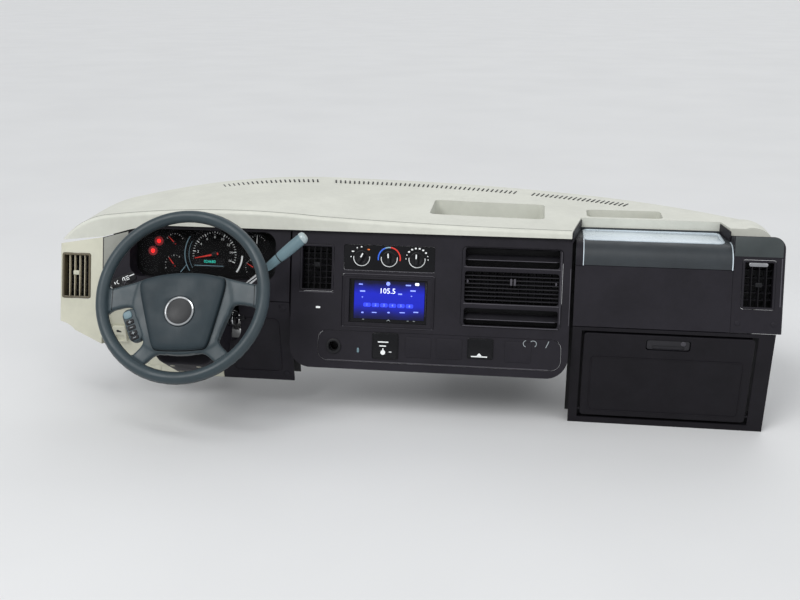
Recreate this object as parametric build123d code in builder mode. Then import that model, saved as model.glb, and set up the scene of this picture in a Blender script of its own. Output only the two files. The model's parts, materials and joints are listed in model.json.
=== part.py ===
"""Dashboard of a motorhome cab, with its steering wheel, column and steel cross beam.

Millimetres. X runs to the passenger's side, Y forward to the windshield and Z up.
The origin is the middle of the two bolts that hold the dashboard to the cowl.
"""
import os
from math import cos, radians, sin, sqrt, tan

from build123d import *

os.makedirs("parts", exist_ok=True)

# Overall shape
half_width = 820
fascia_y = -430
fascia_lean = 14
lip_y = fascia_y - 4
pad_corner_y = -339
pad_slope = 1.5
lower_lean = 8

# Walls and clearances
skin = 12
lip_depth = 14
lip_round = 7
wall = 3.5
sheet_steel = 4
seam = 0.6
running_fit = 0.05
moving_gap = 6

# Centre stack
stack_left = -262
stack_right = 368
stack_bottom = -292
stack_depth = 46
stack_corner = 48
climate_width = 206
climate_height = 58
climate_x = -38
climate_s = -38
knob_pitch = 63
knob_radius = 15.5
radio_width = 211
radio_height = 121
radio_s = -135
screen_width = 160
screen_height = 87
radio_case_width = 178
radio_case_height = 100
radio_case_depth = 155
accessory_left = stack_left + 66
accessory_right = stack_right - 16
accessory_top = -205
accessory_bottom = -274
socket_radius = 10.5
socket_depth = 38

# Top pad
pad_left = 5 - half_width
pad_end_x = half_width - 15
driver_pad_end_x = stack_right - 2
shelf_left_x = stack_right + 20
shelf_right_x = half_width - 114
shelf_back_y = lip_y + 131
tray_wall_height = 37
tray_floor_z = 4
shelf_floor_z = 12
lip_bottom_z = 21

# Driver's side of the fascia, as x along it and s up its slope
left_end_inner = 106 - half_width
bezel_right = stack_left - 4
bezel_bottom = -145
cluster_left = left_end_inner + 66
cluster_right = bezel_right - 34
cluster_bottom = -100
cluster_top = 12
cluster_corner = 28
cluster_depth = 46
lens_depth = 34

# End housings and passenger's side
right_end_inner = half_width - 108
right_end_top = 38
end_depth = 64
vent_width = 70
vent_height = 106
left_vent_x = left_end_inner - 64
left_vent_s = -104
right_vent_x = right_end_inner + 54
right_vent_s = -66
passenger_left = stack_right + 8
passenger_top_z = -36
passenger_bottom_z = -166
lower_top_z = passenger_bottom_z - 2
lower_bottom_z = -410
glove_left = passenger_left + 26
glove_right = half_width - 52
glove_top_z = -182
glove_bottom_z = -390
glove_depth = 128

# Steelwork behind
beam_y = -262
beam_z = -215
beam_radius = 30
beam_wall = 3
beam_half_length = half_width - 34
carrier_depth = 50
cowl_hole_pitch = 160
cowl_hole_radius = 5.5
cowl_plate = 8
end_plate_size = (96, 116)
end_hole_pitch = (64, 84)
end_hole_radius = 4.5

# Steering
wheel_x = left_end_inner + 246
wheel_y = -603
wheel_z = -92
wheel_radius = 195
rim_radius = 13.5
wheel_turn = 4
column_angle = 32
tilt_pivot = 170
shaft_radius = 9
housing_half = 24
tube_radius = 25
tube_start = 215
tube_end = 440
hinge_pin_radius = 6
shroud_start = 58
shroud_end = 163
shroud_half_width = 70
shroud_top = 50
shroud_foot = 140

# Planes. The fascia leans, so that its foot is nearer to the driver than its top.
lean = radians(fascia_lean)
fascia = Plane(
    origin=(0, fascia_y, 0), x_dir=(1, 0, 0), z_dir=(0, -cos(lean), sin(lean))
)
tilt = radians(lower_lean)
pad_rise = radians(pad_slope)
pad_end_view = Plane(
    origin=(0, lip_y, 0), x_dir=(1, 0, 0), z_dir=(0, -cos(pad_rise), -sin(pad_rise))
)
angle = radians(column_angle)
turn = radians(wheel_turn)
column = Plane(
    origin=(wheel_x, wheel_y, wheel_z), x_dir=(1, 0, 0), z_dir=(0, -cos(angle), sin(angle))
)
wheel = Plane(
    origin=(wheel_x, wheel_y, wheel_z),
    x_dir=(cos(turn), sin(turn) * sin(angle), sin(turn) * cos(angle)),
    z_dir=(0, -cos(angle), sin(angle)),
)
side = Plane(origin=(0, 0, 0), x_dir=(0, 1, 0), z_dir=(1, 0, 0))
bezel_left = left_end_inner + seam
fascia_top = (lip_bottom_z - seam) / cos(lean)
brow_low_x = pad_left + 167
brow_high_x = pad_left + 219
pad_arc_radius = (pad_left**2 + pad_corner_y**2) / (2 * abs(pad_corner_y))
right_end_far_y = fascia_y + right_end_top * sin(lean) + end_depth * cos(lean)


def fascia_at(depth):
    """Plane that lies a depth behind the face of the fascia."""
    return fascia.offset(-depth)


def fascia_point_y(z):
    """Y of the fascia's face at a height z."""
    return fascia_y + z * tan(lean)


def lower_plane(top_z, depth=0):
    """Plane of a lower panel that starts at top_z and leans forward at its foot."""
    face = Plane(
        origin=(0, fascia_point_y(top_z), top_z),
        x_dir=(1, 0, 0),
        z_dir=(0, -cos(tilt), -sin(tilt)),
    )
    return face.offset(-depth)


def lower_length(top_z, bottom_z):
    """Length down the slope of a lower panel, between two heights."""
    return (top_z - bottom_z) / cos(tilt)


def along_column(distance):
    """Plane square to the column, a distance forward of the steering wheel."""
    return column.offset(-distance)


def windshield_y(x, inset=0):
    """Y of the pad's front edge, less an inset, at a place across the vehicle."""
    return sqrt((pad_arc_radius - inset) ** 2 - x**2) - pad_arc_radius


def centre_of(low, high):
    """Middle of two values."""
    return (low + high) / 2


# Upper line of the pad seen from the driver, as x and z of the three arcs that make it
flat_z = 36
pad_arcs = [
    ((pad_left, -21), (pad_left + 53, 21), (pad_left + 125, 41)),
    ((pad_left + 125, 41), (wheel_x + 28, 59), (stack_left + 62, 51)),
    ((stack_left + 62, 51), (stack_left + 342, 40.5), (driver_pad_end_x, flat_z)),
]


def pad_line(drop):
    """Draw the arcs of the pad's upper line, lowered by a drop."""
    for arc in pad_arcs:
        ThreePointArc(*[(x, z - drop) for x, z in arc])


# Top pad: an arched sheet with its rim turned down all round and two trays sunk in it
with BuildPart() as pad_body:
    with BuildSketch(pad_end_view):
        with BuildLine():
            pad_line(0)
            flat_line = Line((driver_pad_end_x, flat_z), (pad_end_x - 60, flat_z))
            right_arc = ThreePointArc(
                flat_line @ 1, (pad_end_x - 15, flat_z - 6), (pad_end_x, shelf_floor_z + 2)
            )
            Polyline(
                right_arc @ 1,
                (pad_end_x, shelf_floor_z + 1),
                (driver_pad_end_x + 6, shelf_floor_z + 1),
                (driver_pad_end_x + 6, lip_bottom_z),
                (brow_high_x, lip_bottom_z),
                (brow_low_x, lip_bottom_z - 12),
                (left_end_inner + 5, lip_bottom_z - 30),
                pad_arcs[0][0],
            )
        make_face()
    extrude(amount=-(20 - lip_y))

with BuildPart() as pad_plan:
    with BuildSketch(Plane.XY.offset(-100)):
        with BuildLine():
            far = ThreePointArc(
                (pad_left, windshield_y(pad_left)), (0, 0), (pad_end_x, windshield_y(pad_end_x))
            )
            Polyline(
                far @ 1,
                (pad_end_x, right_end_far_y + seam),
                (right_end_inner, right_end_far_y + seam),
                (shelf_right_x - 6, shelf_back_y),
                (shelf_left_x, shelf_back_y),
                (driver_pad_end_x, lip_y),
                (pad_left, lip_y),
                far @ 0,
            )
        make_face()
    extrude(amount=250)

with BuildPart() as pad_hollow:
    with BuildSketch(pad_end_view):
        with BuildLine():
            pad_line(skin)
            Polyline(
                (driver_pad_end_x, flat_z - skin),
                (pad_end_x, flat_z - skin),
                (pad_end_x, -90),
                (pad_left, -90),
                (pad_left, pad_arcs[0][0][1] - skin),
            )
        make_face()
    extrude(amount=-(20 - lip_y))
    with BuildSketch(Plane.XY.offset(-100)):
        inner_right = shelf_right_x - 6 - lip_depth
        inner_left = pad_left + lip_depth
        with BuildLine():
            inner_far = ThreePointArc(
                (inner_left, windshield_y(inner_left, lip_depth)),
                (0, windshield_y(0, lip_depth)),
                (inner_right, windshield_y(inner_right, lip_depth)),
            )
            Polyline(
                inner_far @ 1,
                (inner_right, shelf_back_y + lip_depth),
                (shelf_left_x - lip_depth, shelf_back_y + lip_depth),
                (driver_pad_end_x - lip_depth, lip_y + lip_depth),
                (inner_left, lip_y + lip_depth),
                inner_far @ 0,
            )
        make_face()
    extrude(amount=250, mode=Mode.INTERSECT)

# Trays: left x, right x, near y, far y
tray_table = [
    (stack_right - 328, stack_right - 63, lip_y + 104, lip_y + 244),
    (shelf_left_x + 14, shelf_left_x + 186, shelf_back_y + 11, shelf_back_y + 81),
]
with BuildPart() as top_pad:
    add(pad_body.part)
    add(pad_plan.part, mode=Mode.INTERSECT)
    add(pad_hollow.part, mode=Mode.SUBTRACT)
    for left, right, near, far_y in tray_table:
        middle = (centre_of(left, right), centre_of(near, far_y))
        with BuildSketch(Plane.XY.offset(tray_floor_z - wall)):
            with Locations(middle):
                RectangleRounded(right - left + 2 * wall, far_y - near + 2 * wall, 14 + wall)
        extrude(amount=tray_wall_height)
    for left, right, near, far_y in tray_table:
        middle = (centre_of(left, right), centre_of(near, far_y))
        with BuildSketch(Plane.XY.offset(tray_floor_z)):
            with Locations(middle):
                RectangleRounded(right - left, far_y - near, 14)
        extrude(amount=2 * tray_wall_height, mode=Mode.SUBTRACT)
    lip_edges = top_pad.edges().filter_by_position(Axis.Y, lip_y - 3, lip_y + 3)
    fillet(lip_edges.sort_by(Axis.Z)[-3:], lip_round)
top_pad.part.label = "top_pad"
export_step(top_pad.part, "parts/top_pad.step")

# Demister duct, an arc of flat duct under the pad's front edge
demister_half = half_width - 260
demister_gap = lip_depth + 8
demister_back = demister_gap + 38
with BuildPart() as demister_duct:
    with BuildSketch(Plane.XY.offset(2)):
        with BuildLine():
            front = ThreePointArc(
                *[(x, windshield_y(x, demister_gap)) for x in (-demister_half, 0, demister_half)]
            )
            back = ThreePointArc(
                *[(x, windshield_y(x, demister_back)) for x in (demister_half, 0, -demister_half)]
            )
            Line(front @ 1, back @ 0)
            Line(back @ 1, front @ 0)
        make_face()
    extrude(amount=27)
demister_duct.part.label = "demister_duct"
export_step(demister_duct.part, "parts/demister_duct.step")

# Driver's fascia round the gauges, with a tunnel back to them and a notch for the column
opening_s = -178
opening_half_width = shroud_half_width + 2 * moving_gap
opening_half_height = shroud_top + 3 * moving_gap
cluster_centre = (centre_of(cluster_left, cluster_right), centre_of(cluster_bottom, cluster_top))
cluster_width = cluster_right - cluster_left
cluster_height = cluster_top - cluster_bottom
with BuildPart() as cluster_bezel:
    with BuildSketch(fascia):
        with BuildLine():
            Polyline(
                (bezel_left, -12),
                (brow_low_x, 6),
                (brow_high_x, fascia_top - 1),
                (brow_high_x + 6, fascia_top),
                (bezel_right, fascia_top),
                (bezel_right, bezel_bottom),
                (bezel_left, bezel_bottom),
                close=True,
            )
        make_face()
    extrude(amount=-wall)
    with BuildSketch(fascia):
        with Locations(cluster_centre):
            RectangleRounded(
                cluster_width + 2 * wall, cluster_height + 2 * wall, cluster_corner + wall
            )
    extrude(amount=-cluster_depth)
    with BuildSketch(fascia):
        with Locations(cluster_centre):
            RectangleRounded(cluster_width, cluster_height, cluster_corner)
    extrude(amount=-cluster_depth, mode=Mode.SUBTRACT)
    with BuildSketch(fascia):
        with Locations((wheel_x, opening_s)):
            RectangleRounded(2 * opening_half_width, 2 * opening_half_height, 30)
    extrude(amount=-wall, mode=Mode.SUBTRACT)
cluster_bezel.part.label = "cluster_bezel"
export_step(cluster_bezel.part, "parts/cluster_bezel.step")

# Gauge unit: its face, and the case behind it
with BuildPart() as gauge_unit:
    with BuildSketch(fascia_at(cluster_depth)):
        with Locations(cluster_centre):
            RectangleRounded(cluster_width, cluster_height, cluster_corner)
    extrude(amount=-2)
    with BuildSketch(fascia_at(cluster_depth + 2)):
        with Locations(cluster_centre):
            RectangleRounded(cluster_width - 12, cluster_height - 12, cluster_corner - 6)
    extrude(amount=-38)
gauge_unit.part.label = "gauge_unit"
export_step(gauge_unit.part, "parts/gauge_unit.step")

with BuildPart() as gauge_lens:
    with BuildSketch(fascia_at(lens_depth)):
        with Locations(cluster_centre):
            RectangleRounded(
                cluster_width - 2 * seam, cluster_height - 2 * seam, cluster_corner - seam
            )
    extrude(amount=-2)
gauge_lens.part.label = "gauge_lens"
export_step(gauge_lens.part, "parts/gauge_lens.step")

# Row of lighting switches, low on the left of the gauges, set on the fascia's face
with BuildPart() as light_switches:
    with BuildSketch(fascia):
        with Locations((left_end_inner + 50, bezel_bottom + 14)):
            RectangleRounded(78, 20, 5)
    extrude(amount=5)
light_switches.part.label = "light_switches"
export_step(light_switches.part, "parts/light_switches.step")

# Centre stack: an open shell with a window for each insert. x, s, width, height, corner
side_vent_x = stack_left + 59
side_vent_s = -64
right_vents_x = stack_right - 130
right_vents_s = -94
right_vents_width = 222
right_vents_height = 178
stack_windows = [
    (side_vent_x, side_vent_s, vent_width + 8, vent_height, 7),
    (climate_x, climate_s, climate_width, climate_height, 5),
    (climate_x, radio_s, radio_width, radio_height, 7),
    (right_vents_x, right_vents_s, right_vents_width, right_vents_height, 10),
    (
        centre_of(accessory_left, accessory_right),
        centre_of(accessory_bottom, accessory_top),
        accessory_right - accessory_left,
        accessory_top - accessory_bottom,
        22,
    ),
]
stack_centre = (centre_of(stack_left, stack_right), centre_of(stack_bottom, fascia_top))
stack_width = stack_right - stack_left
stack_height = fascia_top - stack_bottom
with BuildPart() as stack_panel:
    with BuildSketch(fascia):
        with Locations(stack_centre):
            outline = Rectangle(stack_width, stack_height)
            fillet(outline.vertices().group_by(Axis.Y)[0], stack_corner)
    extrude(amount=-stack_depth)
    fillet(stack_panel.faces().sort_by(Axis.Y)[0].edges().sort_by(Axis.Z)[:-1], 4)
    with BuildSketch(fascia_at(wall)):
        with Locations(stack_centre):
            inner = Rectangle(stack_width - 2 * wall, stack_height - 2 * wall)
            fillet(inner.vertices().group_by(Axis.Y)[0], stack_corner - wall)
    extrude(amount=-stack_depth, mode=Mode.SUBTRACT)
    for x, s, width, height, corner in stack_windows:
        with BuildSketch(fascia):
            with Locations((x, s)):
                RectangleRounded(width + 2 * seam, height + 2 * seam, corner)
        extrude(amount=-wall, mode=Mode.SUBTRACT)
stack_panel.part.label = "stack_panel"
export_step(stack_panel.part, "parts/stack_panel.step")

with BuildPart() as climate_panel:
    with BuildSketch(fascia_at(1)):
        with Locations((climate_x, climate_s)):
            RectangleRounded(climate_width, climate_height, 5)
    extrude(amount=-30)
climate_panel.part.label = "climate_panel"
export_step(climate_panel.part, "parts/climate_panel.step")

# Three turning knobs, each a fluted drum with a grip bar across it
with BuildPart() as climate_knobs:
    for step in (-1, 0, 1):
        with BuildSketch(fascia_at(1)):
            with Locations((climate_x + step * knob_pitch, climate_s)):
                Circle(knob_radius)
        extrude(amount=9)
        with BuildSketch(fascia_at(-8)):
            with Locations((climate_x + step * knob_pitch, climate_s)):
                Circle(knob_radius - 4)
        extrude(amount=9, taper=6)
climate_knobs.part.label = "climate_knobs"
export_step(climate_knobs.part, "parts/climate_knobs.step")

with BuildPart() as radio_frame:
    with BuildSketch(fascia_at(-2)):
        with Locations((climate_x, radio_s)):
            RectangleRounded(radio_width, radio_height, 7)
    extrude(amount=-20)
    chamfer(radio_frame.faces().sort_by(Axis.Y)[0].edges(), 2)
    with BuildSketch(fascia_at(-3)):
        with Locations((climate_x, radio_s)):
            Rectangle(radio_case_width, radio_case_height)
    extrude(amount=-30, mode=Mode.SUBTRACT)
radio_frame.part.label = "radio_frame"
export_step(radio_frame.part, "parts/radio_frame.step")

with BuildPart() as radio_unit:
    with BuildSketch(fascia_at(4)):
        with Locations((climate_x, radio_s)):
            Rectangle(radio_case_width - 2 * seam, radio_case_height - 2 * seam)
    extrude(amount=-radio_case_depth)
    with BuildSketch(fascia_at(4)):
        with Locations((climate_x + 2, radio_s + 3)):
            Rectangle(screen_width + 2 * seam, screen_height + 2 * seam)
    extrude(amount=-3, mode=Mode.SUBTRACT)
radio_unit.part.label = "radio_unit"
export_step(radio_unit.part, "parts/radio_unit.step")

with BuildPart() as radio_screen:
    with BuildSketch(fascia_at(4)):
        with Locations((climate_x + 2, radio_s + 3)):
            Rectangle(screen_width, screen_height)
    extrude(amount=-3)
radio_screen.part.label = "radio_screen"
export_step(radio_screen.part, "parts/radio_screen.step")

# Vents with a frame, a row of level vanes in front and upright vanes behind them
# name, centre x, centre s, width, height, level vanes, upright vanes
vent_table = [
    ("left_vent", left_vent_x, left_vent_s, vent_width, vent_height, 6, 4),
    ("stack_vent", side_vent_x, side_vent_s, vent_width + 8, vent_height, 9, 2),
    ("right_vent", right_vent_x, right_vent_s, vent_width, vent_height, 5, 3),
]
vent_depth = 44
vane = 1.6
for name, x, s, width, height, level_count, upright_count in vent_table:
    with BuildPart() as vent:
        with BuildSketch(fascia):
            with Locations((x, s)):
                RectangleRounded(width, height, 6)
                RectangleRounded(width - 2 * wall, height - 2 * wall, 4, mode=Mode.SUBTRACT)
        extrude(amount=-vent_depth)
        with BuildSketch(fascia_at(vent_depth - wall)):
            with Locations((x, s)):
                Rectangle(width - wall, height - wall)
        extrude(amount=-wall)
        level_pitch = (height - 2 * wall) / (level_count + 1)
        with BuildSketch(fascia_at(3)):
            with Locations((x, s)):
                with GridLocations(0, level_pitch, 1, level_count):
                    Rectangle(width - wall, vane)
        extrude(amount=-13)
        upright_pitch = (width - 2 * wall) / (upright_count + 1)
        with BuildSketch(fascia_at(16)):
            with Locations((x, s)):
                with GridLocations(upright_pitch, 0, upright_count, 1):
                    Rectangle(vane, height - wall)
        extrude(amount=-13)
    vent.part.label = name
    export_step(vent.part, "parts/" + name + ".step")

# Right vent group of the stack: three slots in one frame.
# Centre above the group's middle and height, both as shares of its height, then level vanes
slot_shares = [
    (0.37, 0.242, 1),
    (-0.005, 0.404, 7),
    (-0.375, 0.225, 1),
]
slot_table = [
    (right_vents_s + rise * right_vents_height, share * right_vents_height, level_count)
    for rise, share, level_count in slot_shares
]
with BuildPart() as stack_right_vents:
    with BuildSketch(fascia):
        with Locations((right_vents_x, right_vents_s)):
            RectangleRounded(right_vents_width, right_vents_height, 10)
        for s, height, level_count in slot_table:
            with Locations((right_vents_x, s)):
                RectangleRounded(right_vents_width - 10, height, 6, mode=Mode.SUBTRACT)
    extrude(amount=-vent_depth)
    with BuildSketch(fascia_at(vent_depth - wall)):
        with Locations((right_vents_x, right_vents_s)):
            Rectangle(right_vents_width - wall, right_vents_height - wall)
    extrude(amount=-wall)
    for s, height, level_count in slot_table:
        with BuildSketch(fascia_at(5)):
            with Locations((right_vents_x, s)):
                with GridLocations(0, height / (level_count + 1), 1, level_count):
                    Rectangle(right_vents_width - 8, vane)
        extrude(amount=-16)
stack_right_vents.part.label = "stack_right_vents"
export_step(stack_right_vents.part, "parts/stack_right_vents.step")

# Accessory strip at the foot of the stack, with a round hole for the power socket
socket_x = -160
socket_s = -241
with BuildPart() as accessory_strip:
    with BuildSketch(fascia_at(1)):
        with Locations(
            (centre_of(accessory_left, accessory_right), centre_of(accessory_bottom, accessory_top))
        ):
            RectangleRounded(
                accessory_right - accessory_left, accessory_top - accessory_bottom, 22
            )
        with Locations((socket_x, socket_s)):
            Circle(socket_radius + wall + seam, mode=Mode.SUBTRACT)
    extrude(amount=-12)
accessory_strip.part.label = "accessory_strip"
export_step(accessory_strip.part, "parts/accessory_strip.step")

with BuildPart() as power_socket:
    with BuildSketch(fascia_at(1)):
        with Locations((socket_x, socket_s)):
            Circle(socket_radius + wall)
    extrude(amount=-(socket_depth + wall))
    with BuildSketch(fascia_at(-1)):
        with Locations((socket_x, socket_s)):
            Circle(socket_radius + wall + 3)
    extrude(amount=-2)
    with BuildSketch(fascia_at(-1)):
        with Locations((socket_x, socket_s)):
            Circle(socket_radius)
    extrude(amount=-(socket_depth + 2), mode=Mode.SUBTRACT)
power_socket.part.label = "power_socket"
export_step(power_socket.part, "parts/power_socket.step")

# Left end housing, pale, with its vent
left_end_left = -half_width
left_end_top = -26
left_end_bottom = -232
with BuildPart() as left_end_housing:
    with BuildSketch(fascia):
        with BuildLine():
            Polyline(
                (left_end_inner, left_end_top + 14),
                (left_end_left, left_end_top - 4),
                (left_end_left, left_end_bottom + 20),
            )
            corner_arc = RadiusArc(
                (left_end_left, left_end_bottom + 20), (left_end_left + 40, left_end_bottom), 60
            )
            Polyline(
                corner_arc @ 1,
                (left_end_inner, left_end_bottom - 30),
                (left_end_inner, left_end_top + 14),
            )
        make_face()
    extrude(amount=-end_depth)
    left_outline = left_end_housing.faces().sort_by(Axis.Y)[0]
    fillet(left_outline.edges().filter_by(Axis.X, reverse=True).sort_by(Axis.X)[:1], 10)
    with BuildSketch(fascia_at(wall)):
        with BuildLine():
            Polyline(
                (left_end_inner + 1, left_end_top + 10),
                (left_end_left + wall, left_end_top - 8),
                (left_end_left + wall, left_end_bottom + 22),
                (left_end_left + 42, left_end_bottom + wall),
                (left_end_inner + 1, left_end_bottom - 26),
                close=True,
            )
        make_face()
    extrude(amount=-end_depth, mode=Mode.SUBTRACT)
    with BuildSketch(fascia):
        with Locations((left_vent_x, left_vent_s)):
            RectangleRounded(vent_width + 2 * seam, vent_height + 2 * seam, 6)
    extrude(amount=-wall, mode=Mode.SUBTRACT)
left_end_housing.part.label = "left_end_housing"
export_step(left_end_housing.part, "parts/left_end_housing.step")

# Right end housing, dark, with its vent and a rounded outer top corner
right_end_bottom = passenger_bottom_z / cos(lean)
with BuildPart() as right_end_housing:
    with BuildSketch(fascia):
        with Locations(
            (centre_of(right_end_inner, half_width), centre_of(right_end_bottom, right_end_top))
        ):
            block = Rectangle(half_width - right_end_inner, right_end_top - right_end_bottom)
            fillet(block.vertices().sort_by(Axis.X)[-2:].sort_by(Axis.Y)[-1:], 26)
    extrude(amount=-end_depth)
    fillet(right_end_housing.faces().sort_by(Axis.Y)[0].edges().sort_by(Axis.X)[-1:], 6)
    with BuildSketch(fascia_at(wall)):
        with Locations(
            (
                centre_of(right_end_inner + wall, half_width - wall),
                centre_of(right_end_bottom, right_end_top),
            )
        ):
            hollow = Rectangle(
                half_width - right_end_inner - 2 * wall,
                right_end_top - right_end_bottom - 2 * wall,
            )
            fillet(hollow.vertices().sort_by(Axis.X)[-2:].sort_by(Axis.Y)[-1:], 26 - wall)
    extrude(amount=-end_depth, mode=Mode.SUBTRACT)
    with BuildSketch(fascia):
        with Locations((right_vent_x, right_vent_s)):
            RectangleRounded(vent_width + 2 * seam, vent_height + 2 * seam, 6)
    extrude(amount=-wall, mode=Mode.SUBTRACT)
right_end_housing.part.label = "right_end_housing"
export_step(right_end_housing.part, "parts/right_end_housing.step")

# Passenger's shelf with its rolled front
roll_y = fascia_point_y(passenger_top_z)
with BuildPart() as passenger_shelf:
    with BuildSketch(side.offset(passenger_left)):
        with BuildLine():
            bead_y = shelf_back_y - seam
            bead = Polyline(
                (bead_y, shelf_floor_z - wall),
                (bead_y, shelf_floor_z + 6),
                (bead_y - 2, shelf_floor_z + 6),
                (bead_y - 2, shelf_floor_z),
            )
            floor_line = Line(bead @ 1, (lip_y + 30, shelf_floor_z))
            roll_arc = ThreePointArc(floor_line @ 1, (lip_y + 7, 0), (roll_y, passenger_top_z + 1))
            foot = Line(roll_arc @ 1, (roll_y + wall, passenger_top_z + 1))
            inner_arc = ThreePointArc(
                foot @ 1, (lip_y + 12, -3), (lip_y + 31, shelf_floor_z - wall)
            )
            Line(inner_arc @ 1, bead @ 0)
        make_face()
    extrude(amount=right_end_inner - seam - passenger_left)
    # No bead where the pad's end walls stand over the shelf
    for low_x, high_x in ((passenger_left, shelf_left_x + 1), (shelf_right_x - 7, right_end_inner)):
        with BuildSketch(Plane.XY.offset(shelf_floor_z)):
            with Locations((centre_of(low_x, high_x), shelf_back_y)):
                Rectangle(high_x - low_x, 10)
        extrude(amount=10, mode=Mode.SUBTRACT)
passenger_shelf.part.label = "passenger_shelf"
export_step(passenger_shelf.part, "parts/passenger_shelf.step")

# Flat passenger's panel under the roll
with BuildPart() as passenger_panel:
    with BuildSketch(fascia):
        with Locations(
            (
                centre_of(passenger_left, right_end_inner - seam),
                centre_of(passenger_bottom_z, passenger_top_z) / cos(lean),
            )
        ):
            Rectangle(
                right_end_inner - seam - passenger_left,
                (passenger_top_z - passenger_bottom_z) / cos(lean),
            )
    extrude(amount=-wall)
passenger_panel.part.label = "passenger_panel"
export_step(passenger_panel.part, "parts/passenger_panel.step")

# Lower panels. Pale knee bolster on the left, dark panel beside the column, dark frame of the
# glove box on the right
lower_drop = lower_length(lower_top_z, lower_bottom_z)
bolster_top_z = bezel_bottom * cos(lean) - 2
bolster_bend_x = left_end_inner + 114
bolster_right = wheel_x + 30
with BuildPart() as knee_bolster:
    with BuildSketch(lower_plane(bolster_top_z)):
        with BuildLine():
            Polyline(
                (left_end_inner + seam, -(lower_length(bolster_top_z, -258))),
                (left_end_inner + seam, 0),
                (bolster_right, 0),
                (bolster_right, -lower_length(bolster_top_z, -345)),
                (bolster_bend_x, -lower_length(bolster_top_z, -345)),
            )
            RadiusArc(
                (bolster_bend_x, -lower_length(bolster_top_z, -345)),
                (left_end_inner + seam, -lower_length(bolster_top_z, -258)),
                150,
            )
        make_face()
    extrude(amount=-wall)
    with BuildSketch(fascia_at(-20)):
        with Locations((wheel_x, opening_s)):
            RectangleRounded(2 * opening_half_width, 2 * opening_half_height, 30)
    extrude(amount=-60, mode=Mode.SUBTRACT)
knee_bolster.part.label = "knee_bolster"
export_step(knee_bolster.part, "parts/knee_bolster.step")

# Dark panel between the column and the stack, at the same plane
with BuildPart() as column_panel:
    with BuildSketch(lower_plane(bolster_top_z)):
        with Locations(
            (
                centre_of(bolster_right + seam, bezel_right),
                -lower_length(bolster_top_z, -345) / 2,
            )
        ):
            Rectangle(
                bezel_right - bolster_right - seam, lower_length(bolster_top_z, -345)
            )
    extrude(amount=-wall)
    with BuildSketch(fascia_at(-20)):
        with Locations((wheel_x, opening_s)):
            RectangleRounded(2 * opening_half_width, 2 * opening_half_height, 30)
    extrude(amount=-60, mode=Mode.SUBTRACT)
column_panel.part.label = "column_panel"
export_step(column_panel.part, "parts/column_panel.step")

with BuildPart() as release_handle:
    with BuildSketch(lower_plane(bolster_top_z)):
        with Locations((left_end_inner + 32, -98)):
            RectangleRounded(34, 42, 5)
    extrude(amount=9)
    fillet(release_handle.faces().sort_by(Axis.Y)[0].edges(), 2.5)
release_handle.part.label = "release_handle"
export_step(release_handle.part, "parts/release_handle.step")

glove_middle = centre_of(glove_left, glove_right)
glove_height = lower_length(glove_top_z, glove_bottom_z)
glove_top_drop = lower_length(lower_top_z, glove_top_z)
glove_centre_drop = glove_top_drop + glove_height / 2
door_depth = 16
door_rim = 22
latch_width = 96
latch_height = 26
latch_drop = 23
glove_pin_radius = 3
glove_pin_length = 14
hinge_depth = 5
hinge_rise = 14
hinge_drop = glove_top_drop + glove_height - hinge_rise
frame_plane = lower_plane(lower_top_z)
hinge_plane = Plane(
    origin=frame_plane.from_local_coords((glove_middle, -hinge_drop, -hinge_depth)),
    x_dir=(0, 1, 0),
    z_dir=(1, 0, 0),
)
glove_frame_right = half_width - 12
with BuildPart() as glove_frame:
    with BuildSketch(frame_plane):
        with Locations((centre_of(passenger_left, glove_frame_right), -lower_drop / 2)):
            Rectangle(glove_frame_right - passenger_left, lower_drop)
        with Locations((glove_middle, -glove_centre_drop)):
            Rectangle(
                glove_right - glove_left + 2 * moving_gap,
                glove_height + 2 * moving_gap,
                mode=Mode.SUBTRACT,
            )
    extrude(amount=-wall)
    for sign in (-1, 1):
        ear_x = glove_middle + sign * ((glove_right - glove_left) / 2 + moving_gap + 4)
        with BuildSketch(frame_plane.offset(-wall)):
            with Locations((ear_x, -hinge_drop)):
                Rectangle(8, 20)
        extrude(amount=-10)
        pin_end = (glove_right - glove_left) / 2 + moving_gap + 2
        with BuildSketch(hinge_plane.offset(sign * pin_end)):
            Circle(glove_pin_radius)
        extrude(amount=-sign * (glove_pin_length + moving_gap))
glove_frame.part.label = "glove_frame"
export_step(glove_frame.part, "parts/glove_frame.step")

bin_top_z = glove_top_z - 4
bin_bottom_z = glove_bottom_z + 22
bin_back_y = -330
bin_left = glove_left + 8
bin_right = glove_right - 8


def lower_y(z, depth):
    """Y at a height z, a depth behind the face of the lower panels."""
    return fascia_point_y(lower_top_z) + (lower_top_z - z) * tan(tilt) + depth / cos(tilt)


with BuildPart() as glove_bin:
    with BuildSketch(side.offset(bin_left)):
        with BuildLine():
            Polyline(
                (lower_y(bin_top_z, door_depth + moving_gap), bin_top_z),
                (bin_back_y, bin_top_z),
                (bin_back_y, bin_bottom_z),
                (lower_y(bin_bottom_z, door_depth + 2 * moving_gap + 2), bin_bottom_z),
                close=True,
            )
        make_face()
    extrude(amount=bin_right - bin_left)
    with BuildSketch(side.offset(bin_left + wall)):
        with Locations(
            (bin_back_y - wall - glove_depth / 2 - 10, centre_of(bin_bottom_z, bin_top_z))
        ):
            Rectangle(glove_depth + 20, bin_top_z - bin_bottom_z - 2 * wall)
    extrude(amount=bin_right - bin_left - 2 * wall, mode=Mode.SUBTRACT)
glove_bin.part.label = "glove_bin"
export_step(glove_bin.part, "parts/glove_bin.step")

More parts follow.
